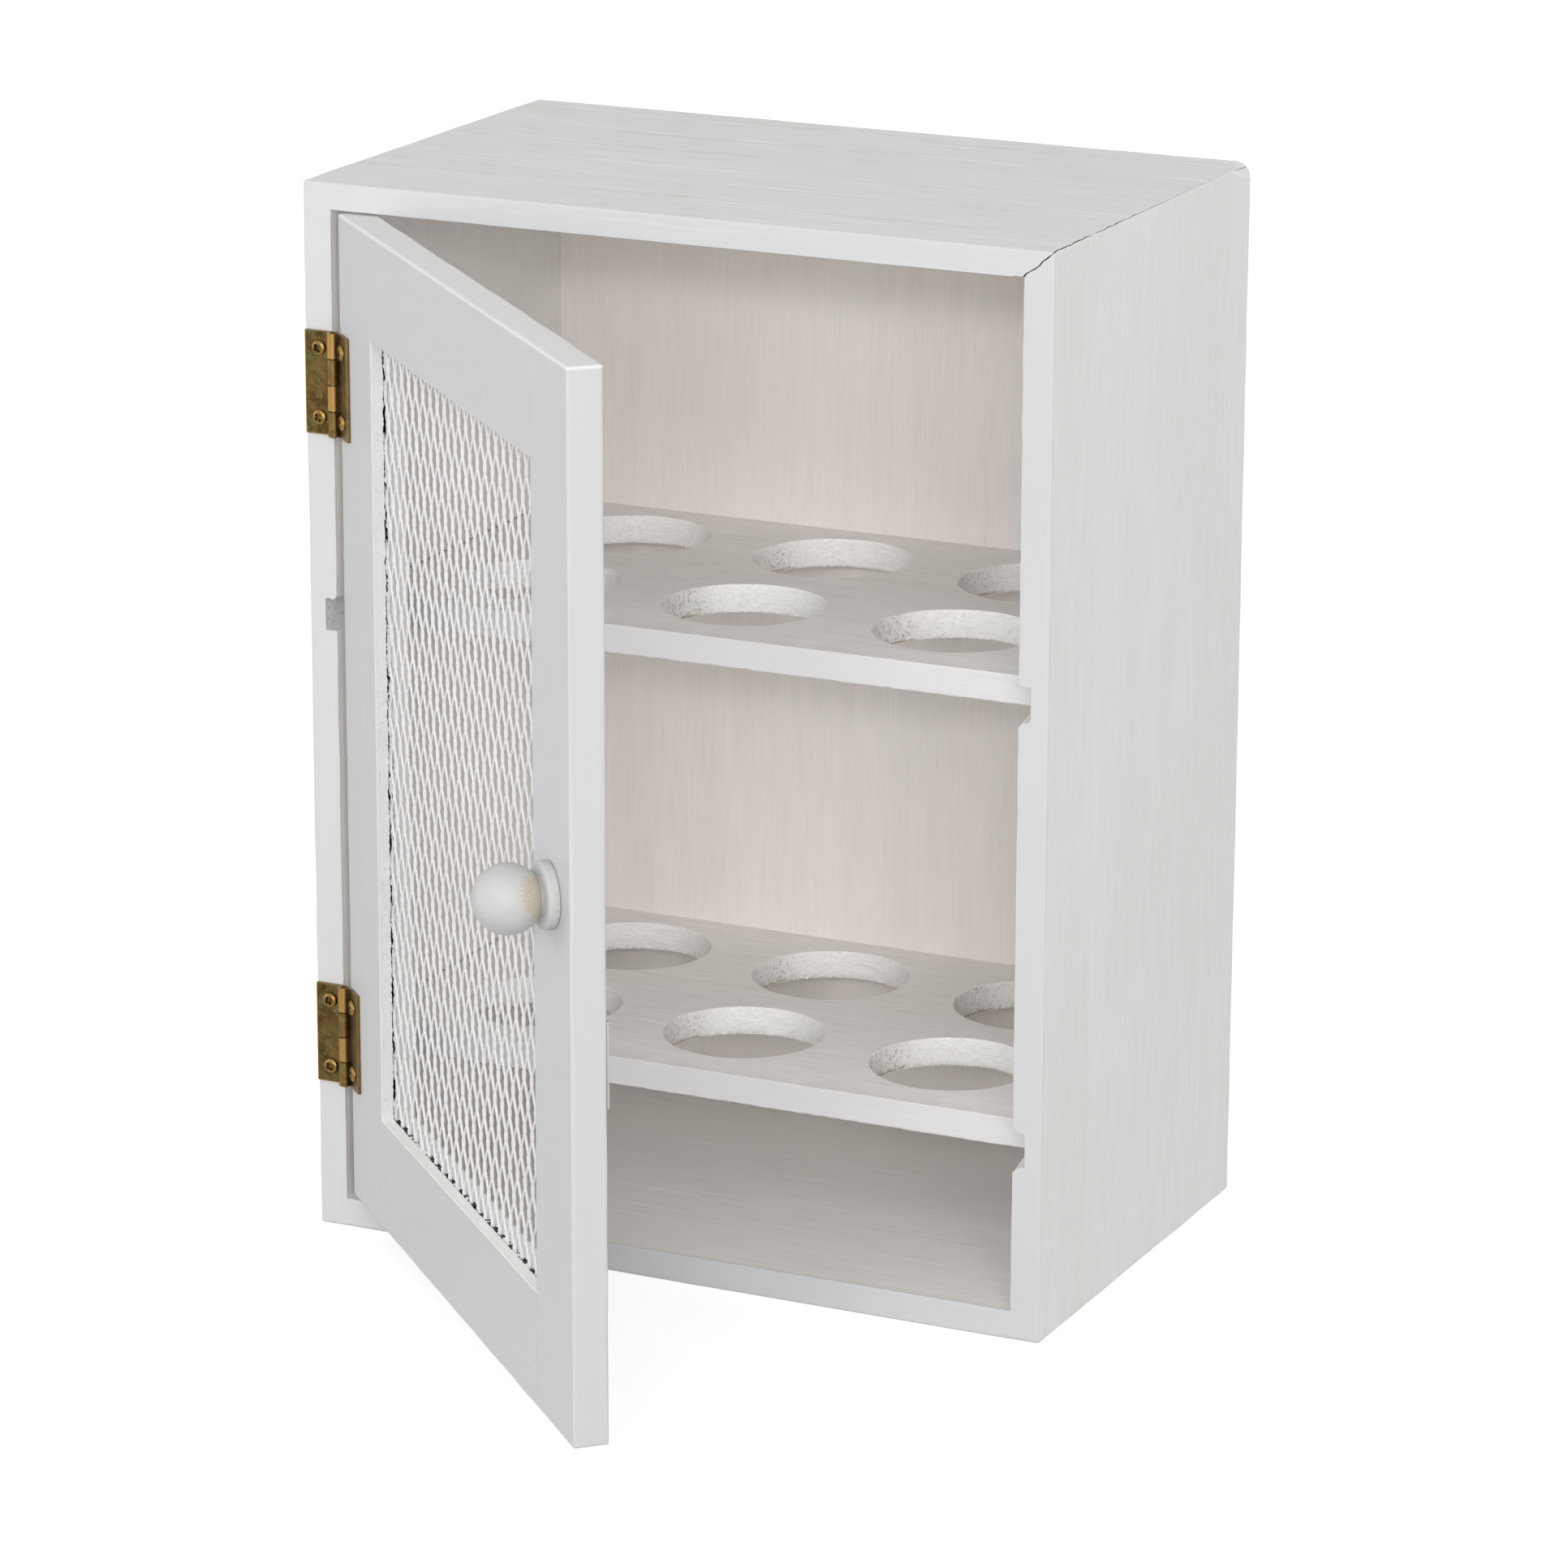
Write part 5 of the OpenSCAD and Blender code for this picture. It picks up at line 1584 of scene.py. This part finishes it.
class CUPBOARD_OT_catch(bpy.types.Operator):
    """Builds the magnetic catch and its strike plate"""
    bl_idname = "cupboard.catch"
    bl_label = "Catch"

    def execute(self, context):
        settings = context.scene.egg_cupboard
        hinge, finish = settings.hinge, settings.finish
        plastic = finish_of(fine_grained, "moulded ABS", finish.plastic, finish.fibre, 0.4, 0.3)
        ferrite = finish_of(fine_grained, "sintered ferrite", finish.ferrite, finish.steel, 0.55, 0.5)
        steel = finish_of(plated_steel, "zinc-plated steel", finish)
        show("catch_housing_piece", refined("catch_housing", 0.3), plastic, "cabinet",
             "catch_plastic", "catch_housing")
        show("catch_magnet_piece", refined("catch_magnet", 0.2), ferrite, "cabinet", "magnet", "catch_magnet")
        show("strike_plate_piece", refined("strike_plate", 0.15), steel, "door", "steel", "strike_plate")
        low, high = limits("catch_housing")
        screw_low, screw_high = limits("catch_screws")
        # The screws' heads are smaller than those of the hinges, and sit on lugs 0.8 mm thick
        head, lug = 3.4, 0.8
        size = head / 3.8
        places = [(low[0] + lug, (low[1] + high[1]) / 2, z)
                  for z in (screw_low[2] + head / 2, screw_high[2] - head / 2)]
        set_of("catch_screws_piece", screw_mesh(hinge), places, (-1, 0, 0), 0.5, size, steel,
               "cabinet", "steel", "catch_screws", spread=0.9, seed=2)
        place = hang((STRIKE_X, DOOR_T + STRIKE_T, STRIKE_Z))
        set_of("strike_screw_piece", screw_mesh(hinge), [place], turned_way(0, 1, 0), 0.35, 1, steel,
               "door", "steel", "strike_screw")
        return {"FINISHED"}


# Stage

# Each lamp's place, and its width and height, in metres; all of them face the middle of the cupboard
LAMPS = {
    "key": ((0.66, -1.66, 0.85), 1.8, 1.4),
    "strip": ((0.7, -2.65, 1.08), 2.6, 0.14),
    "front": ((0.85, -1.62, 0.42), 0.9, 0.7),
    "fill": ((-1.4, -0.95, 0.5), 1.0, 1.0),
    "side": ((1.62, 0.25, 0.62), 1.0, 1.0),
    # Lower than the top board, so that it doesn't shine on it
    "rear": ((-0.35, 1.85, 0.13), 1.4, 0.2),
}
MIDDLE = (0, 0, 0.12)
TABLE_REACH = 12.0
# The camera aims this far right of and below the middle of the front, in millimetres
AIM_RIGHT, AIM_DOWN, AIM_Z = 26.8, 5.4, 130


def seen_rays(tree):
    """1 where the camera sees a surface, directly, mirrored or through glass"""
    rays = tree.nodes.new("ShaderNodeLightPath").outputs
    seen = rays["Is Camera Ray"]
    for kind in ("Is Glossy Ray", "Is Transmission Ray"):
        seen = add(tree, "ShaderNodeMath", {0: seen, 1: rays[kind]}, operation="MAXIMUM")
    return seen


def white_floor(stage):
    """A pale table: it takes the object's soft shadow, and is white where the camera looks past it"""
    made = bpy.data.materials.new("white table")
    made.use_nodes = True
    tree = made.node_tree
    tree.nodes.clear()
    strength = add(tree, "ShaderNodeMath", {0: seen_rays(tree), 1: stage.glow}, operation="MULTIPLY")
    glow = add(tree, "ShaderNodeEmission", {"Strength": strength})
    body = add(tree, "ShaderNodeBsdfDiffuse", {"Color": (*linear("BCBCBC"), 1.0)})
    both = add(tree, "ShaderNodeAddShader", {0: glow, 1: body})
    add(tree, "ShaderNodeOutputMaterial", {"Surface": both})
    return made


def lamp(name, place, width, height, power):
    """A large soft lamp that faces the cupboard"""
    data = bpy.data.lights.new(name, "AREA")
    data.shape = "RECTANGLE"
    data.size, data.size_y, data.energy = width, height, power
    obj = bpy.data.objects.new(name, data)
    bpy.context.scene.collection.objects.link(obj)
    away = Vector(place) - Vector(MIDDLE)
    obj.matrix_world = Matrix.Translation(place) @ away.to_track_quat("Z", "Y").to_matrix().to_4x4()


class CUPBOARD_OT_stage(bpy.types.Operator):
    """Sets up the table, the light, the white background and the camera"""
    bl_idname = "cupboard.stage"
    bl_label = "Stage"

    def execute(self, context):
        scene = context.scene
        stage = scene.egg_cupboard.stage
        mesh = bpy.data.meshes.new("table")
        corners = [(TABLE_REACH * x, TABLE_REACH * y, 0) for x, y in ((-1, -1), (1, -1), (1, 1), (-1, 1))]
        mesh.from_pydata(corners, [], [(0, 1, 2, 3)])
        table = bpy.data.objects.new("table", mesh)
        scene.collection.objects.link(table)
        coat(table, white_floor(stage))
        table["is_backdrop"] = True
        world = bpy.data.worlds.new("white room")
        scene.world = world
        world.use_nodes = True
        tree = world.node_tree
        tree.nodes.clear()
        strength = add(tree, "ShaderNodeMath", {0: seen_rays(tree), 1: 1 - stage.sky, 2: stage.sky},
                       operation="MULTIPLY_ADD")
        sky = add(tree, "ShaderNodeBackground", {"Color": (1, 1, 1, 1), "Strength": strength})
        add(tree, "ShaderNodeOutputWorld", {"Surface": sky})
        for name, (place, width, height) in LAMPS.items():
            lamp(name, place, width, height, getattr(stage, name))
        scene.view_settings.view_transform = "Standard"
        turn, rise, roll = stage.turn, stage.rise, stage.roll
        back = Vector((sin(turn) * cos(rise), -cos(turn) * cos(rise), sin(rise)))
        right = Vector((cos(turn), sin(turn), 0))
        up = back.cross(right)
        right, up = cos(roll) * right + sin(roll) * up, cos(roll) * up - sin(roll) * right
        target = Vector((0, FRONT * MM, AIM_Z * MM))
        place = target + back * stage.distance + right * AIM_RIGHT * MM - up * AIM_DOWN * MM
        data = bpy.data.cameras.new("camera")
        data.sensor_width, data.lens = 36, stage.lens
        data.clip_end = 50
        camera = bpy.data.objects.new("camera", data)
        scene.collection.objects.link(camera)
        camera.matrix_world = Matrix.Translation(place) @ Matrix((right, up, back)).transposed().to_4x4()
        scene.camera = camera
        return {"FINISHED"}


# Panel and registration

class CUPBOARD_PT_panel(bpy.types.Panel):
    """Lists the cupboard's pieces and its stage"""
    bl_idname = "CUPBOARD_PT_panel"
    bl_label = "Egg cupboard"
    bl_space_type = "VIEW_3D"
    bl_region_type = "UI"
    bl_category = "Egg cupboard"

    def draw(self, context):
        settings = context.scene.egg_cupboard
        for operator in OPERATORS:
            self.layout.operator(operator.bl_idname)
        for title in ("board", "shelf", "net", "hinge", "knob", "finish", "stage"):
            box = self.layout.box()
            box.label(text=title.capitalize())
            group = getattr(settings, title)
            for name in group.__annotations__:
                box.prop(group, name)


OPERATORS = (
    CUPBOARD_OT_stage, CUPBOARD_OT_carcass, CUPBOARD_OT_back, CUPBOARD_OT_shelves,
    CUPBOARD_OT_door_frame, CUPBOARD_OT_net, CUPBOARD_OT_knob, CUPBOARD_OT_hinges, CUPBOARD_OT_catch,
)
CLASSES = (
    BoardSettings, ShelfSettings, NetSettings, HingeSettings, KnobSettings, FinishSettings, StageSettings,
    CupboardSettings, *OPERATORS, CUPBOARD_PT_panel,
)


def register():
    """Registers the settings, operators and panel"""
    for item in CLASSES:
        bpy.utils.register_class(item)
    bpy.types.Scene.egg_cupboard = PointerProperty(type=CupboardSettings)


def unregister():
    """Removes what register added"""
    del bpy.types.Scene.egg_cupboard
    for item in reversed(CLASSES):
        bpy.utils.unregister_class(item)


def main():
    """Builds everything"""
    register()
    for operator in OPERATORS:
        group, name = operator.bl_idname.split(".")
        getattr(getattr(bpy.ops, group), name)()
    boxes = {"cad": CAD_BOUNDS, "visual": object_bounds()}
    sizes = {name: [list(corner) for corner in box] for name, box in boxes.items()}


if __name__ == "__main__":
    main()
